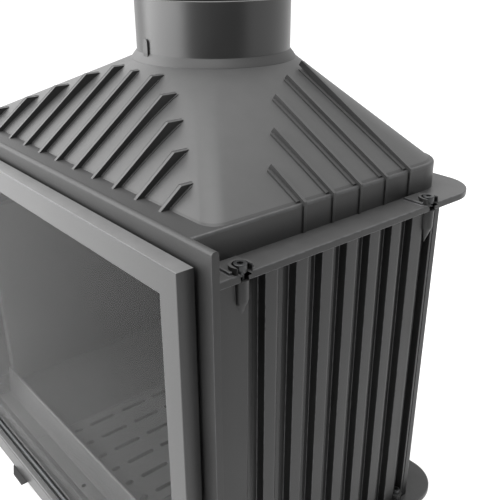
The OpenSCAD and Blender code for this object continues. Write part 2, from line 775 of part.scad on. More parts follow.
module air_box() color([0.4, 0.4, 0.41]) {
    floor_z = lever_z - move_gap;
    rail_z = lever_z + sheet_t + move_gap;
    difference() {
        box(-air_x, air_x, body_y, air_back(), floor_z - sheet_t, strip_z);
        box(-air_x + sheet_t, air_x - sheet_t, body_y - cut, air_back() - sheet_t, floor_z, strip_z - sheet_t);
        air_windows(floor_z - sheet_t - cut, floor_z + cut);
        ash_window(air_back() - sheet_t - cut, air_back() + cut);
    }
    rail_y = shutter_y() + shutter_d + move_gap;
    box(-air_x + sheet_t, air_x - sheet_t, rail_y, rail_y + sheet_t, floor_z, rail_z + sheet_t);
    box(-air_x + sheet_t, air_x - sheet_t, rail_y - rail_in, rail_y + sheet_t, rail_z, rail_z + sheet_t);
}

// Passage for air from the air box into the ash box
module ash_window(y0, y1) {
    box(-ash_x + window_w, ash_x - window_w, y0, y1, ash_window_z, ash_window_z + ash_window_h);
}

// Shutter: a plate with the same windows as the floor below it
module air_shutter() color([0.5, 0.5, 0.51]) difference() {
    box(-lever_left - rail_in, shutter_right, shutter_y(), shutter_y() + shutter_d, lever_z, lever_z + sheet_t);
    air_windows(lever_z - cut, lever_z + sheet_t + cut);
}

// Air lever: flat tab with a tapered end, welded to the shutter's front edge
tab_taper_share = 0.4;
tab_nose_share = 0.28;

module air_lever() color([0.2, 0.2, 0.21]) {
    x0 = lever_x0();
    y1 = plate_y - tab_reach;
    translate([0, 0, lever_z]) linear_extrude(sheet_t) polygon([[x0, shutter_y()],
        [x0, y1 + tab_nose_share * tab_reach], [x0 + tab_taper_share * tab_w, y1], [x0 + tab_w, y1],
        [x0 + tab_w, shutter_y()]]);
}

module ash_box() color([0.4, 0.4, 0.41]) difference() {
    y0 = air_back();
    y1 = grate_y() + grate_l + grate_rim;
    z_top = leg_h - seat_t;
    box(-ash_x, ash_x, y0, y1, ash_z, z_top);
    box(-ash_x + sheet_t, ash_x - sheet_t, y0 + sheet_t, y1 - sheet_t, ash_z + sheet_t, z_top + cut);
    ash_window(y0 - cut, y0 + sheet_t + cut);
}

// Ash pan: pressed tray with a rolled rim and a wire bail
pan_gap = 8;
pan_h = 46;
pan_t = 1.5;
bail_r = 2.5;
bail_half = 45;
bail_drop = 12;

module ash_pan() color([0.48, 0.48, 0.49]) {
    x = ash_x - sheet_t - pan_gap;
    y0 = air_back() + sheet_t + pan_gap;
    y1 = grate_y() + grate_l + grate_rim - sheet_t - pan_gap;
    z = ash_z + sheet_t;
    rim = 2 * pan_t;
    difference() {
        union() {
            box(-x, x, y0, y1, z, z + pan_h);
            box(-x - rim, x + rim, y0 - rim, y1 + rim, z + pan_h - rim, z + pan_h);
        }
        box(-x + pan_t, x - pan_t, y0 + pan_t, y1 - pan_t, z + pan_t, z + pan_h + cut);
    }
}

module pan_bail() color([0.6, 0.6, 0.61]) {
    y = air_back() + sheet_t + pan_gap + pan_t + run_gap + bail_r;
    z0 = ash_z + sheet_t + pan_h - bail_drop;
    z1 = z0 + bail_drop + 2 * bail_r;
    for (s = [-1, 1]) translate([s * bail_half, y, z0]) cylinder(r = bail_r, h = z1 - z0);
    translate([-bail_half, y, z1]) rotate([0, 90, 0]) cylinder(r = bail_r, h = 2 * bail_half);
    for (s = [-1, 1]) translate([s * bail_half, y, z1]) sphere(bail_r);
}

// Door seal: rope in the front plate's channel
module door_seal() color([0.16, 0.16, 0.16]) glass_ring(seal_in, seal_in + seal_w, door_back + move_gap,
    plate_y + seal_d);

// Hinges: lower knuckles on brackets, upper knuckles on the door, and a pin through each pair
flange_t = 3.5;
flange_h = 72;
flange_w = 14;
flange_out = 1;
flange_pitch = 56;
flange_screw_r = 2.5;
flange_screw_l = 8;
web_half = 4;
bracket_shares = [0.12, 0.86];
pin_head_r = 5.5;
pin_head_h = 3;

function bracket_z() = [for (s = bracket_shares) door_low + s * (door_top - door_low)];
function flange_x() = hinge_x - flange_out;

module hinge_brackets() color([0.3, 0.3, 0.31]) for (z = bracket_z()) difference() {
    union() {
        box(flange_x() - flange_w / 2, flange_x() + flange_w / 2, plate_y - flange_t, plate_y,
            z - flange_h / 2, z + flange_h / 2);
        translate([hinge_x, hinge_y, z - knuckle_h]) cylinder(r = knuckle_r, h = knuckle_h);
        box(hinge_x - web_half, hinge_x + web_half, hinge_y, plate_y, z - knuckle_h, z);
    }
    translate([hinge_x, hinge_y, z - knuckle_h - cut]) cylinder(r = pin_r, h = knuckle_h + 2 * cut);
    for (e = [-1, 1]) rod_y(flange_x(), z + e * flange_pitch / 2, flange_screw_r, plate_y - flange_t - cut,
        plate_y + cut);
}

module hinge_pins() color([0.6, 0.6, 0.61]) for (z = bracket_z()) translate([hinge_x, hinge_y, 0]) {
    translate([0, 0, z - knuckle_h]) cylinder(r = pin_r, h = 2 * knuckle_h + 2 * move_gap);
    translate([0, 0, z + knuckle_h + 2 * move_gap]) cylinder(r = pin_head_r, h = pin_head_h);
}

module bracket_screws() color([0.35, 0.35, 0.36]) for (z = bracket_z(), e = [-1, 1]) {
    rod_y(flange_x(), z + e * flange_pitch / 2, flange_screw_r, plate_y - flange_t, plate_y + flange_screw_l);
    rod_y(flange_x(), z + e * flange_pitch / 2, flange_screw_r * 2, plate_y - flange_t - flange_screw_r,
        plate_y - flange_t);
}

// Door frame: picture-frame section with a bevelled lip, a rebate for the glass and two knuckles
module lip_bevels() {
    x = opening_x;
    hull() {
        box(-x - lip_bevel, x + lip_bevel, door_y - cut, door_y, glass_low - lip_bevel, glass_top + lip_bevel);
        box(-x, x, door_y, door_y + lip_bevel, glass_low, glass_top);
    }
}

module door_frame() color([0.5, 0.51, 0.52]) {
    x = door_w / 2;
    rebate = opening_x + glass_lap;
    difference() {
        box(-x, x, door_y, door_back - retainer_t, door_low, door_top);
        box(-opening_x, opening_x, door_y - cut, door_back + cut, glass_low, glass_top);
        lip_bevels();
        box(-rebate, rebate, door_y + lip_t, door_back + cut, glass_low - glass_lap, glass_top + glass_lap);
        rod_y(spindle_x, spindle_z, spindle_r + run_gap, door_y - cut, door_back + cut);
        for (p = retainer_places()) rod_y(p[0], p[1], retainer_screw_r, door_back - retainer_screw_l,
            door_back);
    }
    for (z = bracket_z()) difference() {
        union() {
            translate([hinge_x, hinge_y, z + move_gap]) cylinder(r = knuckle_r, h = knuckle_h);
            box(hinge_x, -x + cut, hinge_y - web_half, hinge_y + web_half, z + move_gap,
                z + move_gap + knuckle_h);
        }
        translate([hinge_x, hinge_y, z]) cylinder(r = pin_r + run_gap, h = knuckle_h + cut);
    }
}

// Glass between two gasket tapes, held by a thin sheet frame and countersunk screws
tape_w = 7;
tape_in = 0.5;
glass_gap = 1;
retainer_screw_r = 1.6;
retainer_head_r = 3;
retainer_screw_l = 9;
retainer_in = 14.8;
retainer_edge = 2;
retainer_count_x = 5;
retainer_count_z = 4;

function tape_y() = door_y + lip_t;
function glass_y() = tape_y() + tape_t;
function retainer_places() = concat(
    [for (i = [0:retainer_count_x - 1], z = [door_low + retainer_in, door_top - retainer_in])
        [(i / (retainer_count_x - 1) - 0.5) * (door_w - 2 * retainer_in), z]],
    [for (i = [1:retainer_count_z - 2], s = [-1, 1])
        [s * (door_w / 2 - retainer_in), door_low + retainer_in
            + i / (retainer_count_z - 1) * (door_top - door_low - 2 * retainer_in)]]);

module front_tape() color([0.15, 0.15, 0.15]) glass_ring(tape_in, tape_in + tape_w, tape_y(), glass_y());
module rear_tape() color([0.15, 0.15, 0.15]) glass_ring(tape_in, tape_in + tape_w, glass_y() + glass_t,
    door_back - retainer_t);

module door_glass() color([0.25, 0.25, 0.26, 0.5]) {
    x = opening_x + glass_lap - glass_gap;
    box(-x, x, glass_y(), glass_y() + glass_t, glass_low - glass_lap + glass_gap,
        glass_top + glass_lap - glass_gap);
}

module glass_retainer() color([0.45, 0.45, 0.46]) difference() {
    glass_ring(tape_in, stile_w - retainer_edge, door_back - retainer_t, door_back);
    rod_y(spindle_x, spindle_z, spindle_r + move_gap, door_y, door_back + cut);
    for (p = retainer_places()) retainer_screw(p);
}

module retainer_screw(p) {
    rod_y(p[0], p[1], retainer_screw_r, door_back - retainer_screw_l, door_back);
    translate([p[0], door_back - retainer_t, p[1]]) rotate([-90, 0, 0])
        cylinder(r1 = retainer_screw_r, r2 = retainer_head_r, h = retainer_t);
}

module retainer_screws() color([0.5, 0.5, 0.51]) for (p = retainer_places()) retainer_screw(p);

// Handle: hub and cranked arm with a turned grip, on a spindle that carries the latch tongue
hub_r = 10;
hub_h = 12;
arm_r = 6;
grip_l = 84;
grip_soft = 1.5;
core_r = 4;
tongue_t = 6;

function grip_y() = door_y - handle_reach + grip_r;
function grip_top() = spindle_z - handle_l + grip_l;

module handle_lever() color([0.22, 0.22, 0.23]) difference() {
    union() {
        rod_y(spindle_x, spindle_z, hub_r, door_y - move_gap - hub_h, door_y - move_gap);
        hull() {
            rod_y(spindle_x, spindle_z, arm_r, door_y - move_gap - hub_h, door_y - move_gap - hub_h / 3);
            translate([spindle_x, grip_y(), grip_top()]) cylinder(r = arm_r, h = arm_r, $fn = 32);
        }
        translate([spindle_x, grip_y(), spindle_z - handle_l]) cylinder(r = core_r, h = grip_l + arm_r);
    }
    rod_y(spindle_x, spindle_z, spindle_r, door_y - hub_h, door_y);
}

module handle_grip() color([0.6, 0.6, 0.6]) translate([spindle_x, grip_y(), spindle_z - handle_l])
    rotate_extrude() polygon(concat([[core_r, 0], [grip_r - 2 * grip_soft, 0]],
        [for (i = [0:8]) [grip_r - grip_soft * pow(i / 4 - 1, 2), grip_soft + (grip_l - 2 * grip_soft) * i / 8]],
        [[grip_r - 2 * grip_soft, grip_l], [core_r, grip_l]]));

module handle_spindle() color([0.6, 0.6, 0.6]) rod_y(spindle_x, spindle_z, spindle_r, door_y - hub_h,
    body_y + move_gap + tongue_t);

module latch_tongue() color([0.5, 0.5, 0.51]) difference() {
    union() {
        rod_y(spindle_x, spindle_z, tongue_half, body_y + move_gap, body_y + move_gap + tongue_t);
        box(spindle_x - tongue_half, spindle_x + tongue_half, body_y + move_gap,
            body_y + move_gap + tongue_t, spindle_z - tongue_l, spindle_z);
    }
    rod_y(spindle_x, spindle_z, spindle_r, body_y - cut, body_y + 2 * tongue_t);
}

front_plate();
smoke_hood();
top_plate();
base_plate();
side_wall_right();
side_wall_left();
rear_wall();
corner_screws();
base_screws();
plate_screws();
levelling_bolts();
lock_nuts();
sill_strips();
log_guard();
grate();
lining_right();
lining_left();
lining_rear();
lower_baffle();
upper_baffle();
ash_box();
ash_pan();
pan_bail();
air_box();
air_shutter();
air_lever();
door_seal();
hinge_brackets();
hinge_pins();
bracket_screws();
door_frame();
front_tape();
door_glass();
rear_tape();
glass_retainer();
retainer_screws();
handle_lever();
handle_grip();
handle_spindle();
latch_tongue();
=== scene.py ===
"""Cast iron fireplace insert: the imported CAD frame, dressed with soft-edged castings and real finishes."""
import json
import math

import bmesh
import bpy
from mathutils import Matrix, Vector
from mathutils.bvhtree import BVHTree


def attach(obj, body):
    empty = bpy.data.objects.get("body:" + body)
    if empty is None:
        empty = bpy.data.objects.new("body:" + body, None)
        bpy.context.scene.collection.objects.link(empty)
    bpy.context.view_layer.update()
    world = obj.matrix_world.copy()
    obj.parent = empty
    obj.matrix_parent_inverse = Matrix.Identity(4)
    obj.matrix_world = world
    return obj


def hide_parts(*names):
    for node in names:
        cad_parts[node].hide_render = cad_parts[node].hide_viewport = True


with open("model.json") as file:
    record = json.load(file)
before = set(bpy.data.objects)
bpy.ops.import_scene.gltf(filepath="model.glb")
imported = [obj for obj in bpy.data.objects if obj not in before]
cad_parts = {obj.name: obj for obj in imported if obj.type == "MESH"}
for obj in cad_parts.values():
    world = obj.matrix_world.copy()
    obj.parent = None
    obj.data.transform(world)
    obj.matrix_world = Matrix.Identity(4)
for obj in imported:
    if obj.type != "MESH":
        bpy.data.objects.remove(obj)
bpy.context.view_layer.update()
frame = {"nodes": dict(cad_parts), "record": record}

BODY_OF = {node: body for body, nodes in frame["record"]["behaviour"]["bodies"].items() for node in nodes}
SLOT_OF = {part["node"]: part["material_slot"] for part in frame["record"]["subparts"]}

# Meshes are shaped in millimetres and scaled to metres when they are finished
MM = 0.001

# Planes from front to back, in millimetres
DOOR_FRONT, REBATE_Y, GLASS_FRONT, GLASS_BACK, FRAME_BACK, DOOR_BACK, PLATE_FRONT, BODY_FRONT = (
    -195.35, -187.35, -185.35, -181.35, -177.35, -175.35, -173.05, -165.05)
FLUE_Y, REAR_Y = 94.35, 219.35

# Levels above the floor
STRIP_LOW, SILL_Z, BASE_TOP, TOP_FACE, LEDGE_Z, RIM_Z = 75.0, 81.0, 100.0, 533.0, 564.0, 736.0

# Door: half widths, and the lower and upper edge of the glass opening
DOOR_HALF, OPENING_HALF, GLASS_LOW, GLASS_TOP = 320.8, 292.8, 52.0, 522.0
RETAINER_IN, RETAINER_LOW, RETAINER_HIGH = 14.8, 36.8, 537.2

# Hood: half width, rear corners, wall, collar; then the dome's foot and its upper circle
HOOD_HALF, HOOD_CORNER, HOOD_WALL, COLLAR_R, COLLAR_BORE_R = 293.0, 45.0, 6.0, 100.0, 95.0
DOME_HALF, DOME_FRONT, DOME_REAR, DOME_TOP_R, DOME_TOP_Z = 290.0, -135.45, 216.35, 107.8, 661.6

# Ribs: thickness, pitch and count either side of the middle, slope, feet, crests; then the side ribs
RIB_T, RIB_PITCH, RIB_COUNT, RIB_SLOPE = 4.5, 44.0, 5, 0.815
RIB_FOOT_Y, RIB_LEVEL = BODY_FRONT + 21.2, 20.0
RIB_LOW_TOP, RIB_TOP_STEP, RIB_HIGH_TOP = 20.7, 19.0, 91.0
SIDE_RIB_Y, SIDE_PITCH = BODY_FRONT + 143.4, 41.5
SIDE_RIB_RUN, SIDE_RIB_SLOPE, SIDE_RIB_SHARES = 182.5, 0.543, (0.26, 0.49, 0.73, 0.87, 0.97)

# Finish, in metres: above the ledge the hood's up-facing slopes get a painted sheen, and the collar has more gloss
# above its flare
PAINTED_SHEEN_Z, GLOSS_Z = 0.5655, 0.673

# Screw lugs, feet, sill bay
LUG_X, LUG_YS, BASE_LUG_YS = 320.0, (-126.65, 145.25), (-108.1, 145.25)
FEET = [(x, y) for x in (-300.0, 300.0) for y in (-65.05, 184.95)]
GUARD_HALF, CHEEK_X = 294.25, (294.9, 299.0)

# Handle and hinges
SPINDLE_X, SPINDLE_Z, GRIP_Y, GRIP_LOW, GRIP_TOP = 309.0, 240.0, -231.35, 112.0, 196.0
HINGE_X, HINGE_Y, KNUCKLES_Z, KNUCKLE_H, BRACKET_FRONT = -330.0, -184.05, (85.6, 477.8), 18.0, -176.55


# ---------------------------------------------------------------- materials

def node_group(name, inputs, outputs):
    """Empty shader group with named sockets, and its input and output nodes."""
    tree = bpy.data.node_groups.new(name, "ShaderNodeTree")
    for label, value in inputs:
        socket = tree.interface.new_socket(name=label, in_out="INPUT", socket_type="NodeSocketFloat")
        socket.default_value = value
    for label in outputs:
        tree.interface.new_socket(name=label, in_out="OUTPUT", socket_type="NodeSocketFloat")
    return tree, tree.nodes.new("NodeGroupInput"), tree.nodes.new("NodeGroupOutput")


def fill(tree, socket, value):
    """Links a socket to another one, or gives it a value."""
    if isinstance(value, bpy.types.NodeSocket):
        tree.links.new(value, socket)
    else:
        socket.default_value = value


def add(tree, kind, **values):
    """Node of a kind, with its properties set and its inputs filled."""
    node = tree.nodes.new(kind)
    for key, value in values.items():
        if hasattr(node, key):
            setattr(node, key, value)
        else:
            fill(tree, node.inputs[key.replace("_", " ").title()], value)
    return node


def math_node(tree, operation, a, b):
    node = add(tree, "ShaderNodeMath", operation=operation)
    fill(tree, node.inputs[0], a)
    fill(tree, node.inputs[1], b)
    return node.outputs[0]


def noise(tree, vector, scale, detail=3.0, rough=0.55):
    return add(tree, "ShaderNodeTexNoise", vector=vector, scale=scale, detail=detail, roughness=rough).outputs["Fac"]


def ranged(tree, value, low, high, to_low=0.0, to_high=1.0):
    """Value stretched from low..high to to_low..to_high, and held inside it."""
    return add(tree, "ShaderNodeMapRange", value=value, from_min=low, from_max=high, to_min=to_low,
               to_max=to_high).outputs[0]


def object_point(tree):
    """Object coordinates, in metres."""
    return tree.nodes.new("ShaderNodeTexCoord").outputs["Object"]


def level_mask(tree, height):
    """1 above a height, 0 below it."""
    part = tree.nodes.new("ShaderNodeSeparateXYZ")
    tree.links.new(object_point(tree), part.inputs[0])
    return math_node(tree, "GREATER_THAN", part.outputs["Z"], height)


def cast_skin_group():
    """Skin of a casting: fine sand grain, a few soft pits and slow blotches in the paint."""
    tree, given, out = node_group("cast_skin", [("Grain Scale", 1400.0), ("Pit Scale", 260.0), ("Pits", 0.3)],
                                  ["Height", "Shade"])
    point = object_point(tree)
    grain = noise(tree, point, given.outputs["Grain Scale"], 2.0)
    pits = add(tree, "ShaderNodeTexVoronoi", feature="SMOOTH_F1", vector=point, scale=given.outputs["Pit Scale"])
    dents = ranged(tree, pits.outputs["Distance"], 0.0, 0.22)
    hollow = math_node(tree, "MULTIPLY", dents, given.outputs["Pits"])
    tree.links.new(math_node(tree, "ADD", grain, hollow), out.inputs["Height"])
    slow = noise(tree, point, 9.0, 2.0, 0.5)
    mixed = math_node(tree, "ADD", math_node(tree, "MULTIPLY", slow, 0.75), math_node(tree, "MULTIPLY", grain, 0.25))
    tree.links.new(mixed, out.inputs["Shade"])
    return tree


def edge_wear_group():
    """Mask of the rounded edges, where the paint is rubbed thin, broken up by a fine noise."""
    tree, given, out = node_group("edge_wear", [("Break Up Scale", 120.0), ("Amount", 0.6)], ["Mask"])
    edge = tree.nodes.new("ShaderNodeAttribute")
    edge.attribute_name = "edge_wear"
    patch = ranged(tree, noise(tree, object_point(tree), given.outputs["Break Up Scale"], 3.0, 0.6), 0.25, 0.6)
    rubbed = math_node(tree, "MULTIPLY", edge.outputs["Fac"], patch)
    tree.links.new(math_node(tree, "MULTIPLY", rubbed, given.outputs["Amount"]), out.inputs["Mask"])
    return tree


def dust_and_sheen_group():
    """Mask of the faces that look up: where fine dust settles, and on the hood's slopes a painted sheen that stands
    in for light.
    """
    tree, given, out = node_group("up_face_dust_and_sheen", [("Amount", 0.2)], ["Mask"])
    turn = tree.nodes.new("ShaderNodeSeparateXYZ")
    tree.links.new(tree.nodes.new("ShaderNodeNewGeometry").outputs["Normal"], turn.inputs[0])
    up = ranged(tree, turn.outputs["Z"], 0.55, 1.0)
    specks = noise(tree, object_point(tree), 45.0, 5.0, 0.65)
    specks = math_node(tree, "ADD", math_node(tree, "MULTIPLY", specks, 0.3), 0.35)
    mask = math_node(tree, "MULTIPLY", up, specks)
    tree.links.new(math_node(tree, "MULTIPLY", mask, given.outputs["Amount"]), out.inputs["Mask"])
    return tree


def brushed_group():
    """Fine drawn lines of machined or zinc plated steel."""
    tree, given, out = node_group("brushed_steel", [("Line Scale", 900.0)], ["Height", "Shade"])
    stretch = add(tree, "ShaderNodeMapping", vector=object_point(tree))
    stretch.inputs["Scale"].default_value = (1.0, 1.0, 0.06)
    lines = noise(tree, stretch.outputs[0], given.outputs["Line Scale"], 3.0)
    cloud = noise(tree, object_point(tree), 40.0, 3.0)
    tree.links.new(lines, out.inputs["Height"])
    both = math_node(tree, "ADD", math_node(tree, "MULTIPLY", lines, 0.5), math_node(tree, "MULTIPLY", cloud, 0.5))
    tree.links.new(both, out.inputs["Shade"])
    return tree


def braid_group():
    """Crossing strands of braided glass fibre, on runs along X or Z."""
    tree, given, out = node_group("glass_fibre_braid", [("Strand Scale", 520.0)], ["Height", "Shade"])
    part = tree.nodes.new("ShaderNodeSeparateXYZ")
    tree.links.new(object_point(tree), part.inputs[0])
    along = math_node(tree, "ADD", part.outputs["X"], part.outputs["Z"])
    waves = []
    for operation in ("ADD", "SUBTRACT"):
        slant = math_node(tree, operation, along, math_node(tree, "MULTIPLY", part.outputs["Y"], 1.4))
        phase = math_node(tree, "MULTIPLY", slant, given.outputs["Strand Scale"])
        waves.append(math_node(tree, "ABSOLUTE", math_node(tree, "SINE", phase, 0.0), 0.0))
    weave = math_node(tree, "MULTIPLY", waves[0], waves[1])
    fuzz = noise(tree, object_point(tree), 2500.0, 2.0)
    tree.links.new(math_node(tree, "ADD", weave, math_node(tree, "MULTIPLY", fuzz, 0.35)), out.inputs["Height"])
    tree.links.new(math_node(tree, "MULTIPLY", math_node(tree, "ADD", weave, fuzz), 0.5), out.inputs["Shade"])
    return tree


GROUPS = {tree.name: tree for tree in (cast_skin_group(), edge_wear_group(), dust_and_sheen_group(),
                                       brushed_group(), braid_group())}


def placed_group(tree, name, **values):
    """Node that uses one of the groups, with its inputs given."""
    node = tree.nodes.new("ShaderNodeGroup")
    node.node_tree = GROUPS[name]
    for key, value in values.items():
        node.inputs[key.replace("_", " ").title()].default_value = value
    return node


def blended(tree, mask, first, second):
    """Colour that goes from first to second as mask goes from 0 to 1."""
    node = add(tree, "ShaderNodeMix", data_type="RGBA", blend_type="MIX")
    # the mix node has sockets for each kind of data: 6, 7 and output 2 are the colours
    tree.links.new(mask, node.inputs["Factor"])
    for socket, colour in ((node.inputs[6], first), (node.inputs[7], second)):
        fill(tree, socket, colour if isinstance(colour, bpy.types.NodeSocket) else (*colour, 1.0))
    return node.outputs[2]


def finish_material(name, skin, skin_values, dark, light, rough, bump, wear=0.0, wear_colour=(0.4, 0.4, 0.42),
                    dust_and_sheen=0.0, metallic=0.0, gloss_above=None, painted_sheen_above=None, **shader_values):
    """Painted or bare surface: colour and roughness from the skin's shade, bump (strength, distance) from its
    height. Above the level gloss_above[0] the roughness is smaller by the share gloss_above[1]. Faces that look up
    are
    lightened: settled dust on most finishes, and on the hood, where this is kept above a given level, painted sheen."""
    material = bpy.data.materials.new(name)
    material.use_nodes = True
    tree = material.node_tree
    shader = tree.nodes["Principled BSDF"]
    surface = placed_group(tree, skin, **skin_values)
    colour = blended(tree, surface.outputs["Shade"], dark, light)
    if wear:
        rubbed = placed_group(tree, "edge_wear", amount=wear)
        colour = blended(tree, rubbed.outputs["Mask"], colour, wear_colour)
    # faces that look up grow lighter: settled dust on most finishes, painted sheen that stands in for light on the
    # hood's slopes
    if dust_and_sheen:
        dust_and_sheen_mask = placed_group(tree, "up_face_dust_and_sheen", amount=dust_and_sheen).outputs["Mask"]
        if painted_sheen_above:
            dust_and_sheen_mask = math_node(tree, "MULTIPLY", dust_and_sheen_mask, level_mask(tree, painted_sheen_above))
        colour = blended(tree, dust_and_sheen_mask, colour, (0.42, 0.42, 0.42))
    tree.links.new(colour, shader.inputs["Base Color"])
    roughness = ranged(tree, surface.outputs["Shade"], 0.3, 0.7, *rough)
    if gloss_above:
        over = level_mask(tree, gloss_above[0])
        share = math_node(tree, "SUBTRACT", 1.0, math_node(tree, "MULTIPLY", over, gloss_above[1]))
        roughness = math_node(tree, "MULTIPLY", roughness, share)
    tree.links.new(roughness, shader.inputs["Roughness"])
    relief = add(tree, "ShaderNodeBump", strength=bump[0], distance=bump[1])
    tree.links.new(surface.outputs["Height"], relief.inputs["Height"])
    tree.links.new(relief.outputs[0], shader.inputs["Normal"])
    shader.inputs["Metallic"].default_value = metallic
    for key, value in shader_values.items():
        shader.inputs[key.replace("_", " ").title().replace("Ior", "IOR")].default_value = value
    return material


def grey(value, tint=0.03):
    """Grey that leans to blue by the tint."""
    return value * (1 - tint), value, value * (1 + tint)


SAND = dict(grain_scale=1500.0, pit_scale=240.0, pits=0.25)
SMOOTH = dict(grain_scale=2200.0, pit_scale=500.0, pits=0.1)

MATERIALS = {
    "front_iron": finish_material("front_plate_paint", "cast_skin", SAND, grey(0.016, 0.0), grey(0.03, 0.0),
                                  (0.44, 0.54), (0.2, 0.0004), wear=0.06, dust_and_sheen=0.05,
                                  specular_ior_level=0.31),
    "door_iron": finish_material("door_paint", "cast_skin", SMOOTH, grey(0.018, 0.0), grey(0.03, 0.0), (0.3, 0.38),
                                 (0.1, 0.0003), wear=0.06, wear_colour=(0.5, 0.5, 0.52), dust_and_sheen=0.45,
                                 specular_ior_level=0.42),
    # the lightening of the up-facing faces above the ledge is painted sheen on the dome's slopes, standing in for
    # light
    "hood_iron": finish_material("hood_paint", "cast_skin", SMOOTH, grey(0.02, 0.0), grey(0.03, 0.0), (0.42, 0.5),
                                 (0.12, 0.0003), wear=0.05, dust_and_sheen=0.15, painted_sheen_above=PAINTED_SHEEN_Z,
                                 gloss_above=(GLOSS_Z, 0.3)),
    # the body's paint is darker than that of the other castings: painted shade, standing in for the shade on the side
    # walls and in their grooves
    "body_iron": finish_material("body_paint_shade_darkened", "cast_skin", SAND, grey(0.008, 0.0), grey(0.016, 0.0), (0.34, 0.44),
                                 (0.15, 0.0004), wear=0.12, dust_and_sheen=0.21, specular_ior_level=0.33),
    "inner_iron": finish_material("inner_iron", "cast_skin", SAND, grey(0.045, 0.0), grey(0.07, 0.0), (0.45, 0.55),
                                  (0.12, 0.0004), wear=0.1, dust_and_sheen=0.1),
    "black_screws": finish_material("black_oxide", "brushed_steel", dict(line_scale=1200.0), grey(0.03),
                                    grey(0.06), (0.3, 0.42), (0.1, 0.0002), wear=0.6, metallic=0.6),
    "bright_steel": finish_material("zinc_plate", "brushed_steel", dict(line_scale=900.0), grey(0.24), grey(0.38),
                                    (0.32, 0.44), (0.12, 0.0002), metallic=1.0),
    "sheet_steel": finish_material("dark_sheet", "brushed_steel", dict(line_scale=600.0), grey(0.01), grey(0.018),
                                   (0.55, 0.7), (0.1, 0.0002), wear=0.05, specular_ior_level=0.06),
    "lining_board": finish_material("lining_board", "cast_skin", dict(grain_scale=700.0, pit_scale=140.0, pits=0.2),
                                    grey(0.05, 0.0), grey(0.075, 0.0), (0.8, 0.95), (0.12, 0.0004), dust_and_sheen=0.1),
    "glass_rope": finish_material("glass_fibre", "glass_fibre_braid", dict(strand_scale=520.0), grey(0.12),
                                  grey(0.36), (0.8, 0.95), (0.7, 0.0006)),
}


def glass_material():
    """Clear ceramic glass, grey in its depth, with a faint bloom of soot."""
    material = bpy.data.materials.new("ceramic_glass")
    material.use_nodes = True
    tree = material.node_tree
    shader = tree.nodes["Principled BSDF"]
    bloom = placed_group(tree, "cast_skin", grain_scale=14.0, pit_scale=30.0, pits=0.2)
    tree.links.new(blended(tree, bloom.outputs["Shade"], (0.006, 0.006, 0.006), (0.012, 0.012, 0.012)),
                   shader.inputs["Base Color"])
    tree.links.new(ranged(tree, bloom.outputs["Shade"], 0.0, 1.0, 0.13, 0.17), shader.inputs["Alpha"])
    shader.inputs["Roughness"].default_value = 0.06
    shader.inputs["IOR"].default_value = 1.5
    return material


MATERIALS["ceramic_glass"] = glass_material()


# ---------------------------------------------------------------- mesh tools

def started():
    """Empty mesh that can mark its worn edges."""
    bm = bmesh.new()
    bm.loops.layers.float.new("edge_wear")
    return bm


def bevel(bm, edges, width, segments=2):
    """Rounded edges, marked as worn."""
    made = bmesh.ops.bevel(bm, geom=edges, offset=width, offset_type="OFFSET", segments=segments, profile=0.5,
                           affect="EDGES", clamp_overlap=False, material=-1)
    worn = bm.loops.layers.float["edge_wear"]
    for face in made["faces"]:
        for loop in face.loops:
            loop[worn] = 1.0


def unworn(bm):
    """Clears the wear mark from the level faces that took it over from a rounded edge beside them."""
    bm.normal_update()
    worn = bm.loops.layers.float["edge_wear"]
    for face in bm.faces:
        if abs(face.normal.z) > 0.999:
            for loop in face.loops:
                loop[worn] = 0.0


def sharp_edges(bm, angle=30.0, least=0.0, wanted=None):
    """Edges that turn by more than angle, are at least so long, and whose middle is wanted."""
    limit = math.radians(angle)
    return [edge for edge in bm.edges if len(edge.link_faces) == 2 and edge.calc_face_angle(0.0) > limit
            and edge.calc_length() > least
            and (wanted is None or wanted((edge.verts[0].co + edge.verts[1].co) / 2))]


def piece(name, bm, nodes, sharp=38.0):
    """Finished mesh in place of CAD nodes, riding on their body with their finish."""
    bmesh.ops.remove_doubles(bm, verts=bm.verts, dist=0.002)
    bmesh.ops.recalc_face_normals(bm, faces=bm.faces)
    bmesh.ops.scale(bm, vec=(MM, MM, MM), verts=bm.verts)
    mesh = bpy.data.meshes.new(name)
    bm.to_mesh(mesh)
    bm.free()
    mesh.shade_smooth()
    mesh.set_sharp_from_angle(angle=math.radians(sharp))
    mesh.materials.append(MATERIALS[SLOT_OF[nodes[0]]])
    obj = bpy.data.objects.new(name, mesh)
    bpy.context.scene.collection.objects.link(obj)
    even = obj.modifiers.new("even_normals", "WEIGHTED_NORMAL")
    even.keep_sharp = True
    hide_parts(*nodes)
    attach(obj, BODY_OF[nodes[0]])


def pad_backs(bm):
    """Upright edges where a pad of a side wall drops back into the groove behind it."""
    bm.normal_update()
    return [edge for edge in bm.edges if len(edge.link_faces) == 2 and edge.calc_length() > 300
            and abs(edge.verts[0].co.x) > 321.9 and abs(edge.verts[1].co.x) > 321.9 and edge.verts[0].co.y < 150
            and any(abs(face.normal.x) > 0.99 for face in edge.link_faces)
            and any(face.normal.y > 0.3 for face in edge.link_faces)]


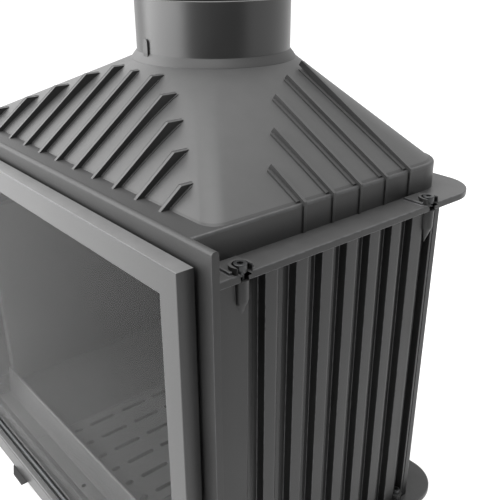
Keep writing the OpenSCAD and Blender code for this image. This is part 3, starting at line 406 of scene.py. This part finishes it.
def softened(node, width, segments, least):
    """Copy of a CAD node with its edges rounded."""
    bm = started()
    bm.from_mesh(frame["nodes"][node].data)
    bmesh.ops.scale(bm, vec=(1 / MM, 1 / MM, 1 / MM), verts=bm.verts)
    bmesh.ops.remove_doubles(bm, verts=bm.verts, dist=0.01)
    bmesh.ops.dissolve_limit(bm, angle_limit=math.radians(1.5), verts=bm.verts, edges=bm.edges)
    if node == "base_plate":
        # cheeks that close the two ends of the sill bay
        for side in (-1, 1):
            near, far = sorted(side * x for x in CHEEK_X)
            block(bm, (near, BODY_FRONT + 0.2, STRIP_LOW + 0.3), (far, BODY_FRONT + 29.0, BASE_TOP - 0.5))
    if node.startswith("side_wall"):
        bmesh.ops.bevel(bm, geom=pad_backs(bm), offset=6.0, offset_type="OFFSET", segments=8, profile=0.5,
                        affect="EDGES", clamp_overlap=False, material=-1)
    bevel(bm, sharp_edges(bm, 30.0, least), width, segments)
    piece(node + "_cast", bm, [node])


def outline_face(bm, points):
    """Flat face from a few corners."""
    return bm.faces.new([bm.verts.new(point) for point in points])


def pushed(bm, face, along):
    """Solid slab from a face, pushed out along a vector."""
    made = bmesh.ops.extrude_face_region(bm, geom=[face])
    bmesh.ops.translate(bm, vec=along, verts=[item for item in made["geom"] if isinstance(item, bmesh.types.BMVert)])
    if face.is_valid:
        bmesh.ops.reverse_faces(bm, faces=[face])


def slab(bm, points, along):
    """Slab from a flat outline. Gives its edges."""
    before = set(bm.edges)
    face = outline_face(bm, points)
    pushed(bm, face, along)
    return [edge for edge in bm.edges if edge not in before]


def block(bm, low, high, width=0.0):
    """Box between two corners, with rounded edges where a width is given."""
    (x0, y0, z0), (x1, y1, z1) = low, high
    edges = slab(bm, [(x0, y0, z0), (x1, y0, z0), (x1, y1, z0), (x0, y1, z0)], (0, 0, z1 - z0))
    if width:
        bevel(bm, edges, width)


def stood(place, axis):
    """Matrix that stands what points up Z along an axis at a place."""
    return Matrix.Translation(place) @ Vector((0, 0, 1)).rotation_difference(Vector(axis)).to_matrix().to_4x4()


def turned(bm, profile, centre, axis=(0, 0, 1), steps=48):
    """Profile of radius and height, spun round an axis through centre."""
    before = set(bm.verts)
    verts = [bm.verts.new((radius, 0, height)) for radius, height in profile]
    edges = [bm.edges.new(pair) for pair in zip(verts, verts[1:])]
    bmesh.ops.spin(bm, geom=verts + edges, cent=(0, 0, 0), axis=(0, 0, 1), angle=2 * math.pi, steps=steps,
                   use_merge=True, use_duplicate=False)
    new = [vert for vert in bm.verts if vert not in before]
    bmesh.ops.remove_doubles(bm, verts=new, dist=0.001)
    new = [vert for vert in bm.verts if vert not in before]
    bmesh.ops.transform(bm, matrix=stood(centre, axis), verts=new)


def rounded(r0, h0, r1, h1, count=4):
    """Quarter turn of a profile from (r0, h0) upright to (r1, h1) level."""
    return [(r1 + (r0 - r1) * math.cos(math.pi / 2 * i / count), h0 + (h1 - h0) * math.sin(math.pi / 2 * i / count))
            for i in range(count + 1)]


def mitred_ring(bm, profile):
    """Closed section at the low right corner of the glass opening, carried round it by mirrored extrusions."""
    verts = [bm.verts.new(point) for point in profile]
    edges = [bm.edges.new((verts[i - 1], verts[i])) for i in range(len(verts))]
    for flip_x, flip_z in ((1, -1), (-1, 1), (1, -1), (-1, 1)):
        made = bmesh.ops.extrude_edge_only(bm, edges=edges)
        verts = [item for item in made["geom"] if isinstance(item, bmesh.types.BMVert)]
        edges = [item for item in made["geom"] if isinstance(item, bmesh.types.BMEdge)
                 and all(vert in verts for vert in item.verts)]
        for vert in verts:
            vert.co.x *= flip_x
            if flip_z < 0:
                vert.co.z = GLASS_LOW + GLASS_TOP - vert.co.z
    bmesh.ops.remove_doubles(bm, verts=bm.verts, dist=0.001)


def round_section(low, high, front, back, count=12):
    """Oval section between two distances outside the opening and two depths."""
    u, r = (low + high) / 2, (high - low) / 2
    y, d = (front + back) / 2, (back - front) / 2
    return [(u + r * math.cos(2 * math.pi * i / count), y + d * math.sin(2 * math.pi * i / count))
            for i in range(count)]


# ---------------------------------------------------------------- smoke hood

def make_hood():
    bm = started()
    hood_band(bm)
    dome = ruled_dome()
    slope = BVHTree.FromBMesh(dome)
    joined(bm, dome)
    flue_collar(bm)
    for i in range(-RIB_COUNT, RIB_COUNT + 1):
        front_rib(bm, slope, i)
    for side in (-1, 1):
        for i, share in enumerate(SIDE_RIB_SHARES):
            side_rib(bm, slope, side, SIDE_RIB_Y + SIDE_PITCH * i, share)
    piece("ribbed_smoke_hood", bm, ["smoke_hood"])


def hood_band(bm):
    """Upright band with round rear corners and a soft ledge, open under the dome."""
    face = outline_face(bm, [(-HOOD_HALF, BODY_FRONT, TOP_FACE), (HOOD_HALF, BODY_FRONT, TOP_FACE),
                             (HOOD_HALF, REAR_Y, TOP_FACE), (-HOOD_HALF, REAR_Y, TOP_FACE)])
    bmesh.ops.bevel(bm, geom=[vert for vert in face.verts if vert.co.y > 0], offset=HOOD_CORNER,
                    offset_type="OFFSET", segments=16, profile=0.5, affect="VERTICES", clamp_overlap=False,
                    material=-1)
    bm.faces.ensure_lookup_table()
    pushed(bm, bm.faces[0], (0, 0, LEDGE_Z - TOP_FACE))
    top = max(bm.faces, key=lambda f: f.calc_center_median().z)
    bevel(bm, list(top.edges), 3.0, 4)
    top = max(bm.faces, key=lambda f: f.calc_center_median().z)
    bmesh.ops.inset_region(bm, faces=[top], thickness=60.0, use_even_offset=True)
    middle = Vector((0, (BODY_FRONT + REAR_Y) / 2, LEDGE_Z))
    inner = min((f for f in bm.faces if abs(f.calc_center_median().z - LEDGE_Z) < 0.01),
                key=lambda f: (f.calc_center_median() - middle).length)
    bottom = min(bm.faces, key=lambda f: f.calc_center_median().z)
    bmesh.ops.delete(bm, geom=[inner, bottom], context="FACES")
    bmesh.ops.recalc_face_normals(bm, faces=bm.faces)
    bmesh.ops.solidify(bm, geom=list(bm.faces), thickness=HOOD_WALL)
    unworn(bm)


def flue_collar(bm):
    """Straight collar with a thin rim and a narrow weld flare, and the flat tab at its foot."""
    shell = started()
    turned(shell, [(COLLAR_BORE_R, 655.0), (COLLAR_BORE_R, RIM_Z - 1.2)]
           + rounded(COLLAR_BORE_R, RIM_Z - 1.2, COLLAR_BORE_R + 1.2, RIM_Z, 3)[1:] + [(COLLAR_R - 1.2, RIM_Z)]
           + rounded(COLLAR_R, RIM_Z - 1.2, COLLAR_R - 1.2, RIM_Z, 3)[::-1][1:]
           + [(COLLAR_R, 700.0), (COLLAR_R, 672.6), (100.4, 671.6), (104.6, 666.6), (107.9, 661.9), (107.6, 657.0)],
           (0, FLUE_Y, 0), steps=128)
    joined(bm, shell)

    tab = started()
    block(tab, (-5.2, 94.0, 655.0), (5.2, 102.3, 690.0))
    bmesh.ops.bevel(tab, geom=sharp_edges(tab, 30, 0, lambda m: m.z > 689 and abs(m.x) > 5), offset=4.6,
                    offset_type="OFFSET", segments=8, profile=0.5, affect="EDGES", clamp_overlap=False, material=-1)
    bevel(tab, sharp_edges(tab, 40, 0, lambda m: m.y > 102), 0.5)
    bmesh.ops.transform(tab, matrix=Matrix.Translation((0, FLUE_Y, 0)) @ Matrix.Rotation(math.radians(177), 4, "Z"),
                        verts=tab.verts)
    joined(bm, tab)


def front_rib(bm, slope, i):
    """Rib i from the middle: its crest runs parallel to the slope, and its top end is cut level."""
    height = min(RIB_HIGH_TOP, RIB_LOW_TOP + RIB_TOP_STEP * (RIB_COUNT - abs(i)))
    crest, x = RIB_FOOT_Y + height / RIB_SLOPE, RIB_PITCH * i - RIB_T / 2
    rib = started()
    slab(rib, [(x, RIB_FOOT_Y, LEDGE_Z - 2), (x, RIB_FOOT_Y, LEDGE_Z), (x, crest, LEDGE_Z + height),
               (x, crest + RIB_LEVEL, LEDGE_Z + height), (x, crest + RIB_LEVEL, LEDGE_Z - 2)], (RIB_T, 0, 0))
    bevel(rib, sharp_edges(rib, 20, 0, lambda m: m.z > LEDGE_Z + 1), 0.6)
    joined(bm, rib)
    x = RIB_PITCH * i - 4.2
    root_strip(bm, slope, Vector((x, RIB_FOOT_Y + 10, 0)), Vector((x, crest + 30, 0)), Vector((8.4, 0, 0)),
               LEDGE_Z + height - 1.0, 0.8)


def side_rib(bm, slope, side, middle_y, share):
    """Low ridge on the band that goes on up the slope and runs out into it after a share of the slope's run."""
    y, run = middle_y - RIB_T / 2, share * SIDE_RIB_RUN
    rise = share * SIDE_RIB_RUN * SIDE_RIB_SLOPE
    rib = started()
    slab(rib, [(side * x, y, z) for x, z in (
        (286.5, TOP_FACE), (294.2, TOP_FACE), (294.2, LEDGE_Z + 1.6), (HOOD_HALF - run, LEDGE_Z + rise + 3.0),
        (HOOD_HALF - run - 4, LEDGE_Z + rise - 2), (284.5, LEDGE_Z - 6))], (0, RIB_T, 0))
    bevel(rib, sharp_edges(rib, 20, 3, lambda m: abs(m.x) > 290 or m.z > LEDGE_Z + 3), 0.6)
    joined(bm, rib)
    root_strip(bm, slope, Vector((side * 288, y - 5.0, 0)), Vector((side * (HOOD_HALF - run), y - 5.0, 0)),
               Vector((0, 9.5, 0)), LEDGE_Z + rise + 2, 1.5)


def root_strip(bm, slope, start, end, across, top, height):
    """Low strip of weld along a rib's root, which follows the dome from start to end, up to a level."""
    line = []
    for i in range(13):
        place = start.lerp(end, i / 12)
        hit = slope.ray_cast(place + across / 2 + Vector((0, 0, 800)), Vector((0, 0, -1)))[0]
        if hit and hit.z < top:
            line.append((place.x, place.y, hit.z + height))
    strip = started()
    slab(strip, line + [(x, y, z - height - 3) for x, y, z in reversed(line)], across)
    bevel(strip, sharp_edges(strip, 40), 0.35)
    joined(bm, strip)


def ruled_dome():
    """Shell whose straight rulings join the rounded rectangle of the ledge to the collar's circle, so that each
    side is slightly hollow."""
    dome = started()
    face = outline_face(dome, [(-DOME_HALF, DOME_FRONT, LEDGE_Z - 1.0), (DOME_HALF, DOME_FRONT, LEDGE_Z - 1.0),
                               (DOME_HALF, DOME_REAR, LEDGE_Z - 1.0), (-DOME_HALF, DOME_REAR, LEDGE_Z - 1.0)])
    for rear, offset, segments in ((False, 18.0, 6), (True, 42.0, 12)):
        bmesh.ops.bevel(dome, geom=[vert for vert in face.verts if (vert.co.y > 0) == rear
                                     and abs(vert.co.x) > DOME_HALF - 1],
                        offset=offset, offset_type="OFFSET", segments=segments, profile=0.5, affect="VERTICES",
                        clamp_overlap=False, material=-1)
        face = list(dome.faces)[0]
    bmesh.ops.delete(dome, geom=list(dome.faces), context="FACES_ONLY")
    # the front, the two sides and the rear, by their lengths between the corners
    for least, most, cuts in ((530, 560, 33), (280, 300, 30), (480, 510, 27)):
        long = [edge for edge in dome.edges if least < edge.calc_length() < most]
        bmesh.ops.subdivide_edges(dome, edges=long, cuts=cuts)
    low = list(dome.edges)
    high = bmesh.ops.create_circle(dome, segments=len(low), radius=DOME_TOP_R)
    bmesh.ops.rotate(dome, verts=high["verts"], cent=(0, 0, 0), matrix=Matrix.Rotation(math.pi / 2, 3, "Z"))
    bmesh.ops.translate(dome, vec=(0, FLUE_Y, DOME_TOP_Z), verts=high["verts"])
    circle = [edge for edge in dome.edges if edge not in low]
    walls = bmesh.ops.bridge_loops(dome, edges=low + circle)
    bmesh.ops.subdivide_edges(dome, edges=[edge for edge in walls["edges"] if edge not in low + circle], cuts=7,
                              use_grid_fill=True)
    bmesh.ops.recalc_face_normals(dome, faces=dome.faces)
    if sum(face.normal.z * face.calc_area() for face in dome.faces) < 0:
        bmesh.ops.reverse_faces(dome, faces=dome.faces)
    bmesh.ops.solidify(dome, geom=list(dome.faces), thickness=HOOD_WALL)
    return dome


def joined(bm, other):
    """Adds another mesh as a shell of its own."""
    bmesh.ops.recalc_face_normals(other, faces=other.faces)
    mesh = bpy.data.meshes.new("shell")
    other.to_mesh(mesh)
    other.free()
    bm.from_mesh(mesh)
    bpy.data.meshes.remove(mesh)


# ---------------------------------------------------------------- door

def make_door_frame():
    bm = started()
    stile, rail, edge_r, rebate = 28.0, 30.0, 1.2, 8.0
    outer = [(stile, FRAME_BACK), (stile, DOOR_FRONT + edge_r)] + [
        (stile - edge_r * (1 - math.cos(math.radians(a))), DOOR_FRONT + edge_r * (1 - math.sin(math.radians(a))))
        for a in (30, 60, 90)]
    inner = [(2.1, DOOR_FRONT), (1.5, -195.2), (0.2, -193.9), (0.0, -193.3), (0.0, REBATE_Y), (rebate, REBATE_Y),
             (rebate, FRAME_BACK)]
    # the rails are wider than the stiles, but the lip and the rebate keep the same width on all four sides
    share = rail / stile
    mitred_ring(bm, [(OPENING_HALF + out, depth, GLASS_LOW - (out if out <= rebate else out * share))
                     for out, depth in outer + inner])
    for z in KNUCKLES_Z:
        hinge_knuckle(bm, 4.05, z + 0.3, z + 0.3 + KNUCKLE_H)
        arm = started()
        block(arm, (HINGE_X + 4.5, HINGE_Y - 4, z + 0.3), (-DOOR_HALF + 1, HINGE_Y + 4, z + 0.3 + KNUCKLE_H), 0.8)
        joined(bm, arm)
    piece("door_casting", bm, ["door_frame"])


def hinge_knuckle(bm, bore_r, low, high):
    """Round knuckle on the hinge axis, bored through."""
    knuckle = started()
    turned(knuckle, [(bore_r, low)] + rounded(7.0, low + 0.8, 6.2, low, 3)[::-1]
           + rounded(7.0, high - 0.8, 6.2, high, 3) + [(bore_r, high), (bore_r, low)],
           (HINGE_X, HINGE_Y, 0), steps=40)
    joined(bm, knuckle)


def make_ring(name, node, section):
    """Strip round the glass opening, from points of (distance outside the opening, depth)."""
    bm = started()
    mitred_ring(bm, [(OPENING_HALF + out, depth, GLASS_LOW - out) for out, depth in section])
    piece(name, bm, [node], sharp=60)


def make_glass():
    bm = started()
    half = OPENING_HALF + 7
    block(bm, (-half, GLASS_FRONT, GLASS_LOW - 7), (half, GLASS_BACK, GLASS_TOP + 7), 0.8)
    piece("ceramic_pane", bm, ["door_glass"])


def make_guard():
    """Log guard: a cove that rises to a round ridge."""
    bm = started()
    ridge_r, cove_deep, steps = 2.5, 5.0, 12
    front, ridge_z = BODY_FRONT + 19.4, SILL_Z + 46 - ridge_r
    turns = [(math.cos(math.pi / 2 * i / steps), math.sin(math.pi / 2 * i / steps)) for i in range(1, steps)]
    cove = [(front + cove_deep * sine, SILL_Z + (ridge_z - SILL_Z) * (1 - cosine)) for cosine, sine in turns]
    ridge = [(front + cove_deep + ridge_r - ridge_r * math.cos(math.pi * i / steps),
              ridge_z + ridge_r * math.sin(math.pi * i / steps)) for i in range(steps + 1)]
    points = ([(front, STRIP_LOW + 0.3), (front, SILL_Z)] + cove + ridge
              + [(front + cove_deep + 2 * ridge_r, STRIP_LOW + 0.3)])
    slab(bm, [(-GUARD_HALF, y, z) for y, z in points], (2 * GUARD_HALF, 0, 0))
    bevel(bm, sharp_edges(bm, 50, 3), 0.6)
    piece("coved_log_guard", bm, ["log_guard"])


# ---------------------------------------------------------------- screws, bolts and hinges

def socket_screw(bm, place, axis, head_r, head_h, hex_r, hex_deep, shank_r, shank_l, edge=0.8):
    """Screw with a rounded head and a hexagonal socket. Place is where the head seats."""
    screw = started()
    turned(screw, [(0, -shank_l), (shank_r - 0.6, -shank_l), (shank_r, -shank_l + 0.6), (shank_r, 0),
                   (head_r - 0.2, 0), (head_r, 0.3)]
           + rounded(head_r, head_h - edge, head_r - edge, head_h, 4), (0, 0, 0), steps=48)
    close_with_socket(screw, head_h, hex_r, hex_deep)
    bmesh.ops.transform(screw, matrix=stood(place, axis), verts=screw.verts)
    joined(bm, screw)


def countersunk(bm, place, axis, head_r, head_h, hex_r, hex_deep, shank_r, shank_l):
    """Countersunk screw whose head is flush with place."""
    screw = started()
    turned(screw, [(0, -shank_l), (shank_r - 0.4, -shank_l), (shank_r, -shank_l + 0.4), (shank_r, -head_h),
                   (head_r - 0.1, -0.15), (head_r - 0.25, 0)], (0, 0, 0), steps=36)
    close_with_socket(screw, 0.0, hex_r, hex_deep)
    bmesh.ops.transform(screw, matrix=stood(place, axis), verts=screw.verts)
    joined(bm, screw)


def close_with_socket(screw, level, hex_r, hex_deep):
    """Closes the open top of a turned screw with a flat that holds a hexagonal socket."""
    rim = [edge for edge in screw.edges if len(edge.link_faces) == 1]
    hexagon = bmesh.ops.create_circle(screw, segments=6, radius=hex_r)
    bmesh.ops.translate(screw, vec=(0, 0, level), verts=hexagon["verts"])
    mouth = [edge for edge in screw.edges if not edge.link_faces]
    bmesh.ops.bridge_loops(screw, edges=rim + mouth)
    made = bmesh.ops.extrude_edge_only(screw, edges=mouth)
    deep = [item for item in made["geom"] if isinstance(item, bmesh.types.BMVert)]
    bmesh.ops.translate(screw, vec=(0, 0, -hex_deep), verts=deep)
    bmesh.ops.contextual_create(screw, geom=deep)


def make_screws():
    bm = started()
    for side in (-1, 1):
        for y in LUG_YS:
            socket_screw(bm, (side * LUG_X, y, TOP_FACE), (0, 0, 1), 6.5, 8.0, 3.2, 5.0, 4.0, 23.0)
    piece("corner_cap_screws", bm, ["corner_screws"])
    bm = started()
    for side in (-1, 1):
        for y in BASE_LUG_YS:
            socket_screw(bm, (side * LUG_X, y, BASE_TOP + 14), (0, 0, 1), 4.875, 6.0, 2.4, 3.75, 3.0, 22.0)
    piece("base_cap_screws", bm, ["base_screws"])
    bm = started()
    for side in (-1, 1):
        for z in (151.0, 474.0):
            countersunk(bm, (side * 308, PLATE_FRONT, z), (0, -1, 0), 5.5, 3.0, 1.5, 1.5, 3.0, 26.0)
    piece("front_plate_screws", bm, ["plate_screws"])
    bm = started()
    for z in KNUCKLES_Z:
        for step in (-28, 28):
            socket_screw(bm, (-331, BRACKET_FRONT, z + step), (0, -1, 0), 5.0, 2.5, 2.2, 1.6, 2.5, 11.5, 0.6)
    piece("hinge_bracket_screws", bm, ["bracket_screws"])
    bm = started()
    side_x, span = DOOR_HALF - RETAINER_IN, RETAINER_HIGH - RETAINER_LOW
    places = [((i / 2 - 1) * side_x, z) for i in range(5) for z in (RETAINER_LOW, RETAINER_HIGH)]
    places += [(side * side_x, RETAINER_LOW + i / 3 * span) for i in (1, 2) for side in (-1, 1)]
    for x, z in places:
        countersunk(bm, (x, DOOR_BACK, z), (0, 1, 0), 3.0, 2.0, 1.1, 0.9, 1.6, 9.0)
    piece("retainer_countersunk_screws", bm, ["retainer_screws"])


def make_feet():
    """Levelling bolts with a broad foot and a turned thread, and their lock nuts."""
    bm = started()
    foot = [(0, 0), (18.8, 0), (20.0, 1.2), (20.0, 3.0), (18.5, 3.9), (8.0, 6.0), (7.0, 7.0), (6.0, 8.0)]
    thread = [(6.0 - 0.55 * (i % 2), 9.0 + i * 0.9) for i in range(100)]
    for x, y in FEET:
        turned(bm, foot + thread + [(5.0, 100.0), (0, 100.0)], (x, y, 0), steps=32)
    piece("levelling_bolts_turned", bm, ["levelling_bolts"], sharp=60)
    bm = started()
    for x, y in FEET:
        nut = started()
        ring = bmesh.ops.create_circle(nut, segments=6, radius=11.0, cap_ends=True)
        bmesh.ops.translate(nut, vec=(x, y, 60.0), verts=ring["verts"])
        nut.faces.ensure_lookup_table()
        pushed(nut, nut.faces[0], (0, 0, 8.0))
        bevel(nut, sharp_edges(nut, 30), 0.9)
        joined(bm, nut)
    piece("hexagon_lock_nuts", bm, ["lock_nuts"])


def make_hinges():
    bm = started()
    for z in KNUCKLES_Z:
        hinge_knuckle(bm, 4.0, z - KNUCKLE_H, z)
        plate = started()
        block(plate, (-338, BRACKET_FRONT, z - 36), (-324, PLATE_FRONT, z + 36), 0.9)
        joined(bm, plate)
        web = started()
        block(web, (-334, HINGE_Y + 5, z - KNUCKLE_H), (-326, -175, z), 0.8)
        joined(bm, web)
    piece("hinge_bracket_castings", bm, ["hinge_brackets"])
    bm = started()
    for z in KNUCKLES_Z:
        low, neck = z - KNUCKLE_H, z + 0.6 + KNUCKLE_H
        turned(bm, [(0, low), (3.2, low), (4.0, low + 0.8), (4.0, neck), (4.6, neck), (5.5, neck + 0.4)]
               + rounded(5.5, neck + 1.8, 4.3, neck + 3.0, 4) + [(0, neck + 3.0)], (HINGE_X, HINGE_Y, 0), steps=40)
    piece("turned_hinge_pins", bm, ["hinge_pins"])


def make_handle():
    bm = started()
    seat = DOOR_FRONT - 0.3
    hub = started()
    turned(hub, [(4.0, 0.05), (9.2, 0.05), (10.0, 0.8)] + rounded(10.0, 10.5, 8.5, 12.0, 4) + [(0, 12.0)],
           (SPINDLE_X, seat, SPINDLE_Z), (0, -1, 0))
    joined(bm, hub)
    # the crank is the hull of two upright circles at the spindle and two level ones at the grip
    arm = started()
    for y in (seat - 4, seat - 12):
        ring = bmesh.ops.create_circle(arm, segments=32, radius=6.0)
        bmesh.ops.rotate(arm, verts=ring["verts"], cent=(0, 0, 0), matrix=Matrix.Rotation(math.pi / 2, 3, "X"))
        bmesh.ops.translate(arm, vec=(SPINDLE_X, y, SPINDLE_Z), verts=ring["verts"])
    for z in (GRIP_TOP, GRIP_TOP + 6):
        ring = bmesh.ops.create_circle(arm, segments=32, radius=6.0)
        bmesh.ops.translate(arm, vec=(SPINDLE_X, GRIP_Y, z), verts=ring["verts"])
    bmesh.ops.convex_hull(arm, input=list(arm.verts), use_existing_faces=False)
    bmesh.ops.dissolve_limit(arm, angle_limit=math.radians(1), verts=arm.verts, edges=arm.edges)
    bevel(arm, sharp_edges(arm, 50), 0.8)
    joined(bm, arm)
    core = started()
    turned(core, [(0, GRIP_LOW), (4.0, GRIP_LOW), (4.0, GRIP_TOP + 4), (0, GRIP_TOP + 4)], (SPINDLE_X, GRIP_Y, 0),
           steps=32)
    joined(bm, core)
    piece("cranked_handle", bm, ["handle_lever"])

    # the grip swells in the middle and has seven fine grooves
    bm = started()
    swell = []
    for i in range(25):
        groove = 0.35 if 2 < i < 22 and i % 3 == 0 else 0.0
        swell.append((10.0 - 1.5 * (i / 12 - 1) ** 2 - groove, GRIP_LOW + 1.5 + (GRIP_TOP - GRIP_LOW - 3.0) * i / 24))
    turned(bm, [(4.0, GRIP_LOW), (7.0, GRIP_LOW)] + swell + [(7.0, GRIP_TOP), (4.0, GRIP_TOP), (4.0, GRIP_LOW)],
           (SPINDLE_X, GRIP_Y, 0))
    piece("turned_grip", bm, ["handle_grip"])

    bm = started()
    turned(bm, [(0, 0), (3.4, 0), (4.0, 0.6), (4.0, 48.0), (3.4, 48.6), (0, 48.6)],
           (SPINDLE_X, DOOR_FRONT - 12 + 48.6, SPINDLE_Z), (0, -1, 0), steps=32)
    piece("handle_spindle_rod", bm, ["handle_spindle"])


make_hood()
make_door_frame()
make_ring("seal_rope", "door_seal", round_section(2.1, 8.4, -175.0, -169.1, 14))
make_ring("front_tape_band", "front_tape", round_section(0.5, 7.5, -187.3, -185.4, 12))
make_ring("rear_tape_band", "rear_tape", round_section(0.5, 7.5, -181.3, -177.4, 12))
make_glass()
make_guard()
make_screws()
make_feet()
make_hinges()
make_handle()

# Castings and sheets that keep their CAD shape, with rounded edges
for node, width, segments, least in (
        ("front_plate", 0.8, 2, 10.0), ("top_plate", 1.2, 3, 3.0), ("base_plate", 1.2, 3, 3.0),
        ("side_wall_right", 0.7, 2, 12.0), ("side_wall_left", 0.7, 2, 12.0), ("rear_wall", 0.7, 2, 12.0),
        ("sill_strips", 0.6, 2, 3.0), ("grate", 0.6, 2, 0.0), ("lining_right", 1.2, 2, 3.0),
        ("lining_left", 1.2, 2, 3.0), ("lining_rear", 1.2, 2, 3.0), ("lower_baffle", 1.2, 2, 3.0),
        ("upper_baffle", 1.2, 2, 3.0), ("ash_box", 0.5, 2, 3.0), ("ash_pan", 0.4, 2, 3.0),
        ("air_box", 0.5, 2, 3.0), ("air_shutter", 0.4, 2, 3.0), ("air_lever", 0.5, 2, 3.0),
        ("glass_retainer", 0.3, 2, 5.0), ("latch_tongue", 0.5, 2, 1.5), ("pan_bail", 0.1, 1, 100.0)):
    softened(node, width, segments, least)


# ---------------------------------------------------------------- camera, light and floor

def make_camera():
    """Camera of the photo, solved from the straight edges and the collar's ellipse."""
    camera = bpy.data.cameras.new("photo_camera")
    camera.lens = 50.0
    camera.sensor_width = 36.0
    camera.clip_start = 0.02
    obj = bpy.data.objects.new("photo_camera", camera)
    right = Vector((0.647660586, 0.761928754, 0.000582682))
    up = Vector((-0.310661573, 0.263372513, 0.913304060))
    back = Vector((0.695719162, -0.591692060, 0.407277981))
    turn = Matrix((right, up, back)).transposed()
    obj.matrix_world = Matrix.Translation((0.7472, -0.47865, 0.800)) @ turn.to_4x4()
    bpy.context.scene.collection.objects.link(obj)
    bpy.context.scene.camera = obj


def area_light(name, place, aim, size, power):
    """Soft rectangular light that faces a point."""
    light = bpy.data.lights.new(name, "AREA")
    light.shape = "RECTANGLE"
    light.size, light.size_y = size
    light.energy = power
    obj = bpy.data.objects.new(name, light)
    obj.location = place
    obj.rotation_euler = (Vector(aim) - Vector(place)).to_track_quat("-Z", "Y").to_euler()
    bpy.context.scene.collection.objects.link(obj)


def stage_sheet(name, bm, **values):
    """Sheet of the stage, with a plain finish of its own."""
    mesh = bpy.data.meshes.new(name)
    bm.to_mesh(mesh)
    bm.free()
    paint = bpy.data.materials.new(name)
    paint.use_nodes = True
    for key, value in values.items():
        paint.node_tree.nodes["Principled BSDF"].inputs[key.replace("_", " ").title()].default_value = value
    mesh.materials.append(paint)
    obj = bpy.data.objects.new(name, mesh)
    bpy.context.scene.collection.objects.link(obj)


def make_stage():
    """Pale floor, a dark card beside the object that its right side mirrors, a white world and three soft lights."""
    floor = bmesh.new()
    bmesh.ops.create_grid(floor, x_segments=1, y_segments=1, size=40.0)
    stage_sheet("pale_floor", floor, base_color=(0.7, 0.7, 0.7, 1.0), roughness=0.9,
                emission_color=(1.0, 1.0, 1.0, 1.0), emission_strength=0.4)
    card = bmesh.new()
    outline_face(card, [(0.75, -2.85, 0.0), (3.0, 0.6, 0.0), (3.0, 0.6, 2.6), (0.75, -2.85, 2.6)])
    stage_sheet("dark_card", card, base_color=(0.02, 0.02, 0.02, 1.0), roughness=1.0)
    world = bpy.data.worlds.new("studio")
    world.use_nodes = True
    world.node_tree.nodes["Background"].inputs["Color"].default_value = (1.0, 1.0, 1.0, 1.0)
    world.node_tree.nodes["Background"].inputs["Strength"].default_value = 1.0
    bpy.context.scene.world = world
    bpy.context.scene.view_settings.view_transform = "Standard"
    area_light("front_left_panel", (-1.0, -2.0, 1.5), (0.0, 0.0, 1.0), (3.7, 2.8), 170.0)
    area_light("left_panel", (-3.2, -0.4, 2.2), (0.0, 0.0, 0.6), (2.6, 2.2), 36.0)
    area_light("overhead_panel", (0.0, -0.1, 3.2), (0.0, -0.1, 0.0), (1.8, 1.8), 58.0)


make_camera()
make_stage()
